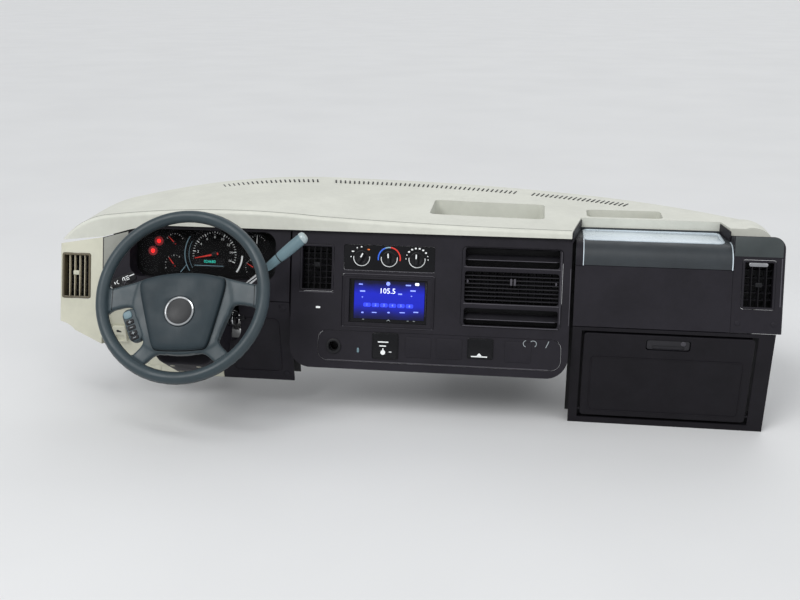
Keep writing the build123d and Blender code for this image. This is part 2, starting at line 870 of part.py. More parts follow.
# Glove box door, a dished lid that turns on the frame's pins near its foot
with BuildPart() as glove_door:
    with BuildSketch(lower_plane(lower_top_z)):
        with Locations((glove_middle, -glove_centre_drop)):
            RectangleRounded(glove_right - glove_left, glove_height, 8)
    extrude(amount=-door_depth)
    fillet(glove_door.faces().sort_by(Axis.Y)[0].edges(), 2)
    with BuildSketch(lower_plane(lower_top_z, wall)):
        with Locations((glove_middle, -glove_centre_drop)):
            RectangleRounded(
                glove_right - glove_left - 2 * door_rim, glove_height - 2 * door_rim, 8
            )
    extrude(amount=-door_depth, mode=Mode.SUBTRACT)
    with BuildSketch(lower_plane(lower_top_z)):
        with Locations((glove_middle, -glove_top_drop - latch_drop)):
            RectangleRounded(latch_width, latch_height, 6)
    extrude(amount=-door_depth, mode=Mode.SUBTRACT)
    with BuildSketch(hinge_plane):
        Circle(glove_pin_radius + running_fit)
    extrude(amount=glove_right - glove_left, both=True, mode=Mode.SUBTRACT)
glove_door.part.label = "glove_door"
export_step(glove_door.part, "parts/glove_door.step")

with BuildPart() as glove_latch:
    with BuildSketch(lower_plane(lower_top_z, 2)):
        with Locations((glove_middle, -glove_top_drop - latch_drop)):
            RectangleRounded(latch_width - seam, latch_height - seam, 6)
    extrude(amount=-9)
glove_latch.part.label = "glove_latch"
export_step(glove_latch.part, "parts/glove_latch.step")

# Cowl bracket: a bolted plate and two side plates welded to the beam
with BuildPart() as cowl_bracket:
    with BuildSketch(Plane.XZ):
        RectangleRounded(cowl_hole_pitch + 50, 50, 8)
        with GridLocations(cowl_hole_pitch, 0, 2, 1):
            Circle(cowl_hole_radius, mode=Mode.SUBTRACT)
    extrude(amount=cowl_plate)
    for arm_x in (-30, 30 - sheet_steel):
        with BuildSketch(side.offset(arm_x)):
            with BuildLine():
                Polyline(
                    (-cowl_plate, 14),
                    (-cowl_plate, -22),
                    (beam_y - 13, beam_z - 24),
                    (beam_y + 14, beam_z + 23),
                    close=True,
                )
            make_face()
        extrude(amount=sheet_steel)
    with BuildSketch(side.offset(-31)):
        with Locations((beam_y, beam_z)):
            Circle(beam_radius)
    extrude(amount=62, mode=Mode.SUBTRACT)
cowl_bracket.part.label = "cowl_bracket"
export_step(cowl_bracket.part, "parts/cowl_bracket.step")

# Moulded carrier behind the panels: every trim piece is fixed to it
carrier_top_z = 18
carrier_knee_z = -168
carrier_foot_z = -402


def carrier_y(z):
    """Y of the carrier's driver side at a height z."""
    if z >= carrier_knee_z:
        return fascia_point_y(z) + carrier_depth / cos(lean)
    return carrier_y(carrier_knee_z) + (carrier_knee_z - z) * tan(tilt)


# Windows and corners cut out of the carrier: left x, right x, lower z, upper z
carrier_windows = [
    (cluster_left - 6, cluster_right + 6, -124, 8),
    (wheel_x - 78, wheel_x + 78, -310, -132),
    (stack_left + 18, stack_right - 14, -196, 6),
    (driver_pad_end_x - 4, right_end_inner + 20, shelf_floor_z - wall, 40),
    (right_end_inner - 4, half_width, -186, 40),
    (stack_left + 2, stack_right + 2, -450, -226),
    (left_end_inner - 26, stack_left + 14, -450, -338),
    (left_end_inner - 26, left_end_inner + 74, -450, -252),
]
carrier_left = left_end_inner + 4
carrier_right = glove_frame_right
with BuildPart() as panel_carrier:
    with BuildSketch(side.offset(carrier_left)):
        with BuildLine():
            Polyline(
                (carrier_y(carrier_top_z), carrier_top_z),
                (carrier_y(carrier_knee_z), carrier_knee_z),
                (carrier_y(carrier_foot_z), carrier_foot_z),
                (carrier_y(carrier_foot_z) + wall, carrier_foot_z),
                (carrier_y(carrier_knee_z) + wall, carrier_knee_z),
                (carrier_y(carrier_top_z) + wall, carrier_top_z),
                close=True,
            )
        make_face()
    extrude(amount=carrier_right - carrier_left)
    for left, right, low, high in carrier_windows:
        with BuildSketch(Plane.XZ.offset(300)):
            with Locations((centre_of(left, right), centre_of(low, high))):
                RectangleRounded(right - left, high - low, 10)
        extrude(amount=200, mode=Mode.SUBTRACT)
    with BuildSketch(Plane.XZ.offset(300)):
        with Locations((glove_middle, centre_of(bin_bottom_z, bin_top_z))):
            Rectangle(bin_right - bin_left + 2 * seam, bin_top_z - bin_bottom_z + 2 * seam)
    extrude(amount=200, mode=Mode.SUBTRACT)
panel_carrier.part.label = "panel_carrier"
export_step(panel_carrier.part, "parts/panel_carrier.step")

# Climate case behind the stack, resting on the beam
case_right = stack_right - 30
case_left = case_right - 276
case_near = -224
case_far = -48
case_bottom = -286
case_top = -18
with BuildPart() as climate_case:
    with BuildSketch(Plane.XY.offset(case_bottom)):
        with Locations((centre_of(case_left, case_right), centre_of(case_near, case_far))):
            RectangleRounded(case_right - case_left, case_far - case_near, 22)
    extrude(amount=case_top - case_bottom)
    fillet(climate_case.faces().sort_by(Axis.Z)[0].edges(), 12)
    with BuildSketch(Plane.XY.offset(case_top)):
        with Locations((centre_of(case_left, case_right), case_far - 18)):
            Rectangle(120, 22)
    extrude(amount=2 - case_top)
    with BuildSketch(side.offset(case_left + 40)):
        with Locations((centre_of(beam_y, case_near), beam_z)):
            Rectangle(case_near - beam_y, 44)
    extrude(amount=case_right - case_left - 80)
    with BuildSketch(side.offset(case_left)):
        with Locations((beam_y, beam_z)):
            Circle(beam_radius)
    extrude(amount=case_right - case_left, mode=Mode.SUBTRACT)
climate_case.part.label = "climate_case"
export_step(climate_case.part, "parts/climate_case.step")

# Air ducts: each main run follows the windshield, and a branch goes back to each vent
duct_low = -98
duct_high = -48
duct_near = -206
duct_far = -148
branch_near = -374
branch_width = 54
collar_length = 56
# run: end of the main run at the case, its bends as x and y, then the vents that it feeds
left_run = [
    (case_left, duct_near),
    (case_left, duct_far),
    (left_end_inner + 274, duct_far),
    (left_end_inner + 24, pad_corner_y + 33),
    (left_vent_x - branch_width / 2, pad_corner_y + 17),
    (left_vent_x - branch_width / 2, branch_near),
    (left_end_inner + 14, branch_near),
    (left_end_inner + 289, duct_near),
]
right_run = [
    (case_right, duct_near),
    (case_right, duct_far),
    (right_end_inner - 282, duct_far),
    (right_end_inner - 32, pad_corner_y + 47),
    (right_vent_x + branch_width / 2, pad_corner_y + 21),
    (right_vent_x + branch_width / 2, branch_near),
    (right_end_inner - 22, branch_near),
    (right_end_inner - 287, duct_near),
]
with BuildPart() as air_ducts:
    for run in (left_run, right_run):
        with BuildSketch(Plane.XY.offset(duct_low)):
            with BuildLine():
                Polyline(*run, close=True)
            make_face()
        extrude(amount=duct_high - duct_low)
    with BuildSketch(Plane.XY.offset(duct_low)):
        with Locations((side_vent_x, centre_of(branch_near, duct_near))):
            Rectangle(branch_width, duct_near - branch_near)
    extrude(amount=duct_high - duct_low)
    for vent_x, vent_s in (
        (left_vent_x, left_vent_s),
        (side_vent_x, side_vent_s),
        (right_vent_x, right_vent_s),
    ):
        with BuildSketch(fascia_at(vent_depth)):
            with Locations((vent_x, vent_s)):
                Rectangle(branch_width, branch_width)
        extrude(amount=-collar_length)
    with BuildSketch(fascia_at(vent_depth)):
        with Locations((right_vents_x, right_vents_s)):
            Rectangle(right_vents_width - 30, right_vents_height - 50)
    extrude(amount=-collar_length)
    with BuildSketch(Plane.XY.offset(-160)):
        with Locations((right_vents_x, centre_of(branch_near - 10, case_near))):
            Rectangle(right_vents_width - 30, case_near - branch_near + 10)
    extrude(amount=120)
air_ducts.part.label = "air_ducts"
export_step(air_ducts.part, "parts/air_ducts.step")

# Column, fixed part: a tube with a fork that holds the tilt pins, and its bracket
fork_gap = 1
fork_plate = 6
fork_half = housing_half + fork_gap + fork_plate
lower_shaft_radius = 10
with BuildPart() as column_tube:
    with BuildSketch(along_column(tube_start)):
        Circle(tube_radius)
    extrude(amount=-(tube_end - tube_start))
    with BuildSketch(along_column(tube_start + 16)):
        Circle(tube_radius - sheet_steel)
    extrude(amount=-(tube_end - tube_start - 28), mode=Mode.SUBTRACT)
    with BuildSketch(along_column(tube_start - 4)):
        RectangleRounded(2 * fork_half, 56, 6)
    extrude(amount=-20)
    for sign in (-1, 1):
        with BuildSketch(along_column(tilt_pivot - 20)):
            with Locations((sign * (fork_half - fork_plate / 2), 0)):
                Rectangle(fork_plate, 40)
        extrude(amount=-(tube_start - tilt_pivot + 25))
    with BuildSketch(Plane(column.from_local_coords((0, 0, -tilt_pivot)), z_dir=(1, 0, 0))):
        Circle(hinge_pin_radius + running_fit)
    extrude(amount=60, both=True, mode=Mode.SUBTRACT)
    with BuildSketch(along_column(tube_start - 10)):
        Circle(lower_shaft_radius + running_fit)
    extrude(amount=-(tube_end - tube_start + 20), mode=Mode.SUBTRACT)
column_tube.part.label = "column_tube"
export_step(column_tube.part, "parts/column_tube.step")

# Steel cross beam with its end plates, the straps to the carrier and the column's saddle
bracket_low_z = beam_z - 14
bracket_high_z = beam_z + 14
beam_along = (beam_y - wheel_y) * cos(angle) - (beam_z - wheel_z) * sin(angle)
beam_above = (beam_y - wheel_y) * sin(angle) + (beam_z - wheel_z) * cos(angle)
saddle_length = 60
saddle_start = beam_along - 0.6 * saddle_length
saddle_width = 92
saddle_low = tube_radius - 10
saddle_height = beam_above + 8 - saddle_low
saddle_wall = 8
with BuildPart() as cross_beam:
    for strap_x in (
        left_end_inner + 8, stack_left - 10, passenger_left + 8, beam_half_length - 10,
    ):
        with BuildSketch(side.offset(strap_x)):
            with BuildLine():
                Polyline(
                    (beam_y, bracket_high_z),
                    (beam_y, bracket_low_z),
                    (carrier_y(bracket_low_z) + wall, bracket_low_z),
                    (carrier_y(bracket_high_z) + wall, bracket_high_z),
                    close=True,
                )
            make_face()
        extrude(amount=sheet_steel)
    with BuildSketch(along_column(saddle_start)):
        with Locations((0, saddle_low + saddle_height / 2)):
            Rectangle(saddle_width, saddle_height)
            Rectangle(
                saddle_width - 2 * saddle_wall,
                saddle_height - 2 * saddle_wall,
                mode=Mode.SUBTRACT,
            )
        with Locations((0, tube_radius - 3)):
            Rectangle(saddle_width / 2, 20)
    extrude(amount=-saddle_length)
    with BuildSketch(along_column(saddle_start - 20)):
        Circle(tube_radius)
    extrude(amount=-(saddle_length + 60), mode=Mode.SUBTRACT)
    with BuildSketch(Plane.YZ.offset(-beam_half_length)):
        with Locations((beam_y, beam_z)):
            Circle(beam_radius)
    extrude(amount=2 * beam_half_length)
    with BuildSketch(Plane.YZ.offset(-beam_half_length)):
        with Locations((beam_y, beam_z)):
            Circle(beam_radius - beam_wall)
    extrude(amount=2 * beam_half_length, mode=Mode.SUBTRACT)
    for plate_x in (-beam_half_length - sheet_steel, beam_half_length):
        with BuildSketch(Plane.YZ.offset(plate_x)):
            with Locations((beam_y, beam_z)):
                RectangleRounded(*end_plate_size, 10)
                with GridLocations(*end_hole_pitch, 2, 2):
                    Circle(end_hole_radius, mode=Mode.SUBTRACT)
        extrude(amount=sheet_steel)
cross_beam.part.label = "cross_beam"
export_step(cross_beam.part, "parts/cross_beam.step")

# Lower shaft, with a splined coupling at its foot for the steering gear's shaft
coupling_start = 470
coupling_end = 524
coupling_radius = 19
coupling_bore = 9
with BuildPart() as lower_shaft:
    with BuildSketch(along_column(tube_start - 5)):
        Circle(lower_shaft_radius)
    extrude(amount=-(coupling_start - tube_start + 5))
    with BuildSketch(along_column(coupling_start)):
        Circle(coupling_radius)
    extrude(amount=-(coupling_end - coupling_start))
    with BuildSketch(along_column(coupling_end - 32)):
        Circle(coupling_bore)
    extrude(amount=-40, mode=Mode.SUBTRACT)
lower_shaft.part.label = "lower_shaft"
export_step(lower_shaft.part, "parts/lower_shaft.step")

# Tilting head: housing on its pins, shroud, stalk, shift lever and ignition lock
housing_start = shroud_start + wall
with BuildPart() as tilt_housing:
    with BuildSketch(along_column(housing_start)):
        RectangleRounded(2 * housing_half, 2 * housing_half, 5)
    extrude(amount=-(tilt_pivot + 25 - housing_start))
    with BuildSketch(Plane(column.from_local_coords((0, 0, -tilt_pivot)), z_dir=(1, 0, 0))):
        Circle(hinge_pin_radius)
    extrude(amount=fork_half + 3, both=True)
    with BuildSketch(along_column(housing_start)):
        Circle(shaft_radius + running_fit)
    extrude(amount=-(tilt_pivot - 10 - housing_start), mode=Mode.SUBTRACT)
tilt_housing.part.label = "tilt_housing"
export_step(tilt_housing.part, "parts/tilt_housing.step")

with BuildPart() as column_shroud:
    with BuildSketch(along_column(shroud_start)):
        with Locations((0, centre_of(-shroud_foot, shroud_top))):
            RectangleRounded(2 * shroud_half_width, shroud_top + shroud_foot, 34)
    extrude(amount=-(shroud_end - shroud_start))
    fillet(column_shroud.faces().sort_by(Axis.Y)[0].edges(), 3)
    with BuildSketch(along_column(shroud_start + wall)):
        with Locations((0, centre_of(-shroud_foot, shroud_top))):
            RectangleRounded(
                2 * (shroud_half_width - wall), shroud_top + shroud_foot - 2 * wall, 34 - wall
            )
    extrude(amount=-(shroud_end - shroud_start), mode=Mode.SUBTRACT)
    with BuildSketch(along_column(shroud_start)):
        Circle(shaft_radius + moving_gap)
    extrude(amount=-wall, mode=Mode.SUBTRACT)
column_shroud.part.label = "column_shroud"
export_step(column_shroud.part, "parts/column_shroud.step")


def lever_plane(start, end):
    """Plane at start that faces along a lever, both points given on the column."""
    first = column.from_local_coords(start)
    last = column.from_local_coords(end)
    return Plane(origin=first, x_dir=(last - first).cross(Vector(0, 0, 1)), z_dir=last - first)


def lever_length(start, end):
    """Length of a lever between two points."""
    return (Vector(*end) - Vector(*start)).length


lever_x = shroud_half_width + 6
lever_z = shroud_start + 33
# Levers: name, boss radius, rod start, rod end, rod radius, grip length, grip section
lever_table = [
    ("turn_stalk", 9, (-lever_x, 8, -lever_z), (-lever_x - 96, 44, -78), 4.5, 62, (15, 11)),
    ("shift_lever", 12, (lever_x, 12, -lever_z), (lever_x + 178, 153, -22), 6, 112, (25, 15)),
]
for name, boss, start, end, rod, grip, section in lever_table:
    direction = 1 if start[0] > 0 else -1
    base = (direction * shroud_half_width, start[1], start[2])
    axis_plane = lever_plane(start, end)
    total = lever_length(start, end)
    with BuildPart() as lever:
        with BuildSketch(
            Plane(column.from_local_coords(base), x_dir=(0, 1, 0), z_dir=(direction, 0, 0))
        ):
            Circle(boss)
        extrude(amount=12)
        with BuildSketch(axis_plane):
            Circle(rod)
        extrude(amount=total)
        with BuildSketch(axis_plane.offset(total - grip)):
            RectangleRounded(*section, 5)
        extrude(amount=grip, taper=-1)
    lever.part.label = name
    export_step(lever.part, "parts/" + name + ".step")

lock_length = 20
with BuildPart() as ignition_lock:
    for start, length, is_key in ((0, lock_length, False), (lock_length, 18, True)):
        lock_origin = column.from_local_coords((shroud_half_width + start, -14, -128))
        with BuildSketch(Plane(lock_origin, x_dir=(0, 1, 0), z_dir=(1, 0, 0))):
            if is_key:
                RectangleRounded(5, 22, 2)
            else:
                Circle(16)
        extrude(amount=length)
ignition_lock.part.label = "ignition_lock"
export_step(ignition_lock.part, "parts/ignition_lock.step")

# Steering wheel: rim, four spokes and hub, with the pad, its round badge plate left bare
rim_middle = wheel_radius - rim_radius
spoke_top = -3
spoke_thick = 15
hub_back = 48


def shell_line():
    """Draw the outline of the hub shell, which shows as a strip round the pad."""
    head = ThreePointArc((-98, 36), (0, 50), (98, 36))
    Polyline(head @ 1, (110, -20), (80, -106))
    foot = ThreePointArc((80, -106), (0, -130), (-80, -106))
    Polyline(foot @ 1, (-110, -20), head @ 0)


with BuildPart(wheel) as wheel_frame:
    Torus(rim_middle, rim_radius)
    with BuildSketch(wheel.offset(spoke_top)):
        with BuildLine():
            Polyline(
                (-60, 36), (-98, 36), (-174, 20), (-174, -29), (-150, -25), (-110, -20), (-60, -30),
                close=True,
            )
        make_face()
        with BuildLine():
            Polyline(
                (-40, -80), (-80, -104), (-113, -139), (-88, -157), (-70, -142), (-48, -123),
                (-40, -112),
                close=True,
            )
        make_face()
        mirror(about=Plane.YZ)
        with BuildLine():
            shell_line()
        make_face()
    extrude(amount=-spoke_thick)
    with BuildSketch(wheel.offset(-hub_back)):
        with BuildLine():
            top = ThreePointArc((-82, 26), (0, 40), (82, 26))
            Line(top @ 1, (56, -98))
            bottom = ThreePointArc((56, -98), (0, -112), (-56, -98))
            Line(bottom @ 1, top @ 0)
        hub_outline = make_face()
        fillet(hub_outline.vertices(), 16)
    extrude(amount=hub_back + spoke_top)
wheel_frame.part.label = "wheel_frame"
export_step(wheel_frame.part, "parts/wheel_frame.step")

with BuildPart() as hub_pad:
    with BuildSketch(wheel.offset(spoke_top)):
        with BuildLine():
            pad_arc = ThreePointArc((-95, 34), (0, 50), (95, 34))
            Line(pad_arc @ 1, (56, -117))
            pad_foot = ThreePointArc((56, -117), (0, -122), (-56, -117))
            Line(pad_foot @ 1, pad_arc @ 0)
        pad_outline = make_face()
        fillet(pad_outline.vertices(), 12)
    extrude(amount=17)
    fillet(hub_pad.faces().sort_by(Axis.Y)[0].edges(), 8)
hub_pad.part.label = "hub_pad"
export_step(hub_pad.part, "parts/hub_pad.step")

with BuildPart() as badge_plate:
    with BuildSketch(wheel.offset(14)):
        with Locations((0, -38)):
            Circle(33)
    extrude(amount=3)
    fillet(badge_plate.faces().sort_by(Axis.Y)[0].edges(), 1.5)
badge_plate.part.label = "badge_plate"
export_step(badge_plate.part, "parts/badge_plate.step")

with BuildPart() as switch_pod:
    with BuildSketch(wheel.offset(-18)):
        with Locations((-107, -62)):
            RectangleRounded(34, 76, 13, rotation=21)
    extrude(amount=8)
    with BuildSketch(wheel.offset(-10)):
        with Locations((-107, -62)):
            RectangleRounded(32, 74, 12, rotation=21)
    extrude(amount=12, taper=4)
    with BuildSketch(wheel.offset(-20)):
        with BuildLine():
            shell_line()
        make_face()
    extrude(amount=24, mode=Mode.SUBTRACT)
switch_pod.part.label = "switch_pod"
export_step(switch_pod.part, "parts/switch_pod.step")

with BuildPart() as upper_shaft:
    with BuildSketch(along_column(hub_back)):
        Circle(shaft_radius)
    extrude(amount=-(156 - hub_back))
upper_shaft.part.label = "upper_shaft"
export_step(upper_shaft.part, "parts/upper_shaft.step")
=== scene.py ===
"""Looks of a motorhome cab's dashboard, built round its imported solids.

Metres, in the solids' own frame: X runs to the passenger's side, Y forward and Z up.
"""
import json
import logging
import math
from dataclasses import dataclass, replace
from enum import Enum
from typing import Any, Callable, Iterable, Sequence

import bmesh
import bpy
from mathutils import Matrix, Vector

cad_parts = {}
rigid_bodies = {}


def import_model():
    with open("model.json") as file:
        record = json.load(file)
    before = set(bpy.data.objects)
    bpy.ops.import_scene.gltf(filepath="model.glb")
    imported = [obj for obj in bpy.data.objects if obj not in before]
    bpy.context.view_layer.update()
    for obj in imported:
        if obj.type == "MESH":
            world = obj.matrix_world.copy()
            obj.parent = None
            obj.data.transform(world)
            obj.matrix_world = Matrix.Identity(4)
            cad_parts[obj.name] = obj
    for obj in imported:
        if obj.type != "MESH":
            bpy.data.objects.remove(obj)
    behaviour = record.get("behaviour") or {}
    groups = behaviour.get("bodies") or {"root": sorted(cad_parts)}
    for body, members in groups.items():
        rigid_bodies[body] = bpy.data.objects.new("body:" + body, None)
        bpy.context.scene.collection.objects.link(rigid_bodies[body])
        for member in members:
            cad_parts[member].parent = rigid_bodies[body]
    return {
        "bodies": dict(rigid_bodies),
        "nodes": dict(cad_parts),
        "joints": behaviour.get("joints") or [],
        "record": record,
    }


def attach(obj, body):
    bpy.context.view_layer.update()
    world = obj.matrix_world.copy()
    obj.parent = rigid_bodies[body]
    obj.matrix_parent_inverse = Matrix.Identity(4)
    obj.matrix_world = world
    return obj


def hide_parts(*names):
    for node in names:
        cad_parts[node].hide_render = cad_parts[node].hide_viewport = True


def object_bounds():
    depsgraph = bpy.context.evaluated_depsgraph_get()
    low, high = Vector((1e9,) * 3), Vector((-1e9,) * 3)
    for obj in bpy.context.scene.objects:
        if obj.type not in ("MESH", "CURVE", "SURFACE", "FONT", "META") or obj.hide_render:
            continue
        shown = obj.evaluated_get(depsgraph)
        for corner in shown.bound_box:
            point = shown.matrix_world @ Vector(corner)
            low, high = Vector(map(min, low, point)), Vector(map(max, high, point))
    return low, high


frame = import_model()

log = logging.getLogger("dashboard")
CAD_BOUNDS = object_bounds()

MM = 0.001
Colour = tuple[float, float, float, float]
Point = tuple[float, float]
Place = tuple[float, float, float]
Box = tuple[float, float, float, float]
Test = Callable[[Any], bool]
Thing = bpy.types.Object


def tint(red: int, green: int, blue: int) -> Colour:
    """Turn a colour of 0 to 255 a channel into the linear colour that shaders take.

    Args:
        red: Red, 0 to 255.
        green: Green, 0 to 255.
        blue: Blue, 0 to 255.

    Returns:
        The linear colour, fully opaque.
    """
    channels = [value / 255 for value in (red, green, blue)]
    linear = [c / 12.92 if c < 0.04 else ((c + 0.055) / 1.055) ** 2.4 for c in channels]
    return (*linear, 1.0)


class Signal:
    """A number or a colour that flows out of a shader node."""

    def __init__(self, tree: "ShaderTree", socket: bpy.types.NodeSocket) -> None:
        """Keep the socket and the tree that it belongs to."""
        self.tree = tree
        self.socket = socket

    def maths(self, operation: str, first: "Signal | float", second: "Signal | float") -> "Signal":
        """Add a Math node with two inputs to the tree."""
        return self.tree.add("ShaderNodeMath", {"operation": operation}, {0: first, 1: second})

    def __add__(self, other: "Signal | float") -> "Signal":
        """Add two values."""
        return self.maths("ADD", self, other)

    __radd__ = __add__

    def __rsub__(self, other: float) -> "Signal":
        """Take this value from a number."""
        return self.maths("SUBTRACT", other, self)

    def __mul__(self, other: "Signal | float") -> "Signal":
        """Multiply two values."""
        return self.maths("MULTIPLY", self, other)

    __rmul__ = __mul__

    def between(self, low: float, high: float) -> "Signal":
        """Map low to 0 and high to 1, and clamp what lies outside."""
        inputs = {"Value": self, "From Min": low, "From Max": high}
        return self.tree.add("ShaderNodeMapRange", {"clamp": True}, inputs)


class ShaderTree:
    """Node tree of one material, with a Principled shader at its end."""

    def __init__(self, name: str) -> None:
        """Make an empty material of that name.

        Args:
            name: Name of the material.
        """
        self.material = bpy.data.materials.new(name)
        self.material.use_nodes = True
        self.nodes = self.material.node_tree.nodes
        self.links = self.material.node_tree.links
        self.nodes.clear()

    def add(
        self, kind: str, settings: dict[str, Any] | None = None,
        inputs: dict[int | str, Any] | None = None, output: int | str = 0,
    ) -> Signal:
        """Add a node.

        Args:
            kind: Type of the node.
            settings: Its properties, set first; "stops" fills a colour ramp.
            inputs: Values or signals for its sockets.
            output: Name or number of the output that is returned.

        Returns:
            The signal of that output.
        """
        node = self.nodes.new(kind)
        for name, value in (settings or {}).items():
            if name == "stops":
                self.fill_ramp(node.color_ramp, value)
            else:
                setattr(node, name, value)
        for name, value in (inputs or {}).items():
            if isinstance(value, Signal):
                self.links.new(value.socket, node.inputs[name])
            else:
                node.inputs[name].default_value = value
        return Signal(self, node.outputs[output])

    def fill_ramp(self, ramp: bpy.types.ColorRamp, stops: Sequence[tuple[float, Colour]]) -> None:
        """Give a colour ramp its stops.

        Args:
            ramp: The node's ramp.
            stops: Place and colour of each stop.
        """
        while len(ramp.elements) < len(stops):
            ramp.elements.new(1.0)
        for element, (place, colour) in zip(ramp.elements, stops):
            element.position = place
            element.color = colour

    def place(self, scale: Place = (1, 1, 1)) -> Signal:
        """Object coordinates, scaled along each axis."""
        where = self.add("ShaderNodeTexCoord", output="Object")
        return self.add("ShaderNodeMapping", inputs={"Vector": where, "Scale": scale})

    def noise(self, size: float, detail: float = 3.0, where: Signal | None = None) -> Signal:
        """Cloudy noise whose patches are about a size across."""
        inputs = {"Vector": where or self.place(), "Scale": 1 / size, "Detail": detail}
        return self.add("ShaderNodeTexNoise", inputs=inputs)

    def cells(self, size: float) -> Signal:
        """Rounded cells about a size across, 0 at their middle."""
        inputs = {"Vector": self.place(), "Scale": 1 / size}
        return self.add("ShaderNodeTexVoronoi", {"feature": "SMOOTH_F1"}, inputs, "Distance")

    def mix(self, amount: Signal | float, first: Any, second: Any) -> Signal:
        """Blend two colours."""
        settings = {"data_type": "RGBA"}
        return self.add("ShaderNodeMix", settings, {0: amount, 6: first, 7: second}, 2)

    def bump(self, height: Signal, depth: float) -> Signal:
        """Turn a height from 0 to 1 into a surface normal."""
        inputs = {"Height": height, "Distance": depth, "Strength": 1.0}
        return self.add("ShaderNodeBump", inputs=inputs)

    def close(self, inputs: dict[str, Any]) -> bpy.types.Material:
        """Finish the tree with a Principled shader.

        Args:
            inputs: Values or signals for its sockets.

        Returns:
            The finished material.
        """
        shader = self.add("ShaderNodeBsdfPrincipled", inputs=inputs)
        output = self.nodes.new("ShaderNodeOutputMaterial")
        self.links.new(shader.socket, output.inputs["Surface"])
        return self.material


@dataclass(frozen=True)
class Moulded:
    """Moulded plastic or vinyl, mottled and rubbed, with a grain and its depth in mm."""

    name: str
    colour: Colour
    roughness: float = 0.5
    grain: float = 1.2
    depth: float = 0.08
    mottling: float = 0.12
    sheen: float = 0.0
    coat: float = 0.0
    shine: float = 0.5

    def build(self) -> bpy.types.Material:
        """Make the material.

        Returns:
            The material.
        """
        tree = ShaderTree(self.name)
        cloud = tree.noise(0.09)
        patches = tree.noise(0.014, 5.0)
        shade = [channel * (1 - self.mottling) for channel in self.colour[:3]]
        lit = [min(1.0, channel * (1 + self.mottling)) for channel in self.colour[:3]]
        blend = (cloud * 0.7 + patches * 0.3).between(0.38, 0.62)
        grain = self.grain * MM
        pebbles = tree.cells(grain)
        fine = tree.noise(grain * 0.35, 2.0)
        height = (1 - pebbles) * 0.75 + fine * 0.25
        spots = tree.noise(0.05, 4.0).between(0.35, 0.7)
        inputs = {
            "Base Color": tree.mix(blend, (*shade, 1.0), (*lit, 1.0)),
            "Roughness": self.roughness + 0.1 - spots * 0.16,
            "Normal": tree.bump(height, self.depth * MM),
            "Sheen Weight": self.sheen,
            "Coat Weight": self.coat,
            "Coat Roughness": 0.12,
            "Specular IOR Level": self.shine,
        }
        return tree.close(inputs)


@dataclass(frozen=True)
class Metal:
    """Metal with a fine brushed or cast texture, whose grain and depth are in mm."""

    name: str
    colour: Colour
    roughness: float = 0.25
    texture: Place = (1, 1, 1)
    grain: float = 0.6
    depth: float = 0.02

    def build(self) -> bpy.types.Material:
        """Make the material.

        Returns:
            The material.
        """
        tree = ShaderTree(self.name)
        lines = tree.noise(self.grain * MM, 4.0, tree.place(self.texture))
        cloud = tree.noise(0.03, 4.0).between(0.3, 0.7)
        dull = [channel * 0.82 for channel in self.colour[:3]]
        inputs = {
            "Base Color": tree.mix(cloud, (*dull, 1.0), self.colour),
            "Metallic": 1.0,
            "Roughness": self.roughness + cloud * 0.08 + lines * 0.06,
            "Normal": tree.bump(lines, self.depth * MM),
        }
        return tree.close(inputs)


@dataclass(frozen=True)
class Coated:
    """Steel under a baked paint coat with a dusting and a soft orange peel, in mm."""

    name: str
    colour: Colour
    roughness: float = 0.35
    peel: float = 2.5
    depth: float = 0.06

    def build(self) -> bpy.types.Material:
        """Make the material.

        Returns:
            The material.
        """
        tree = ShaderTree(self.name)
        peel = tree.noise(self.peel * MM, 2.0)
        dust = tree.noise(0.06, 6.0).between(0.5, 0.75)
        dusty = [channel * 0.6 + 0.06 for channel in self.colour[:3]]
        inputs = {
            "Base Color": tree.mix(dust * 0.5, self.colour, (*dusty, 1.0)),
            "Roughness": self.roughness + dust * 0.2,
            "Normal": tree.bump(peel, self.depth * MM),
            "Coat Weight": 0.3,
        }
        return tree.close(inputs)


@dataclass(frozen=True)
class Print:
    """Printed or lit mark, a little uneven like real ink."""

    name: str
    colour: Colour
    glow: float = 0.0

    def build(self) -> bpy.types.Material:
        """Make the material.

        Returns:
            The material.
        """
        tree = ShaderTree(self.name)
        uneven = tree.noise(1.5 * MM, 2.0).between(0.3, 0.7)
        thin = [channel * 0.85 for channel in self.colour[:3]]
        colour = tree.mix(uneven, (*thin, 1.0), self.colour)
        inputs = {
            "Base Color": colour,
            "Roughness": 0.45,
            "Emission Color": colour,
            "Emission Strength": self.glow,
        }
        return tree.close(inputs)


@dataclass(frozen=True)
class Clear:
    """Clear moulded cover that shows what lies behind it and mirrors a little."""

    name: str

    def build(self) -> bpy.types.Material:
        """Make the material.

        Returns:
            The material.
        """
        tree = ShaderTree(self.name)
        wipes = tree.noise(0.04, 5.0).between(0.45, 0.8)
        inputs = {
            "Base Color": (0.02, 0.02, 0.02, 1.0),
            "Roughness": 0.04 + wipes * 0.05,
            "Alpha": 0.05 + wipes * 0.02,
        }
        return tree.close(inputs)


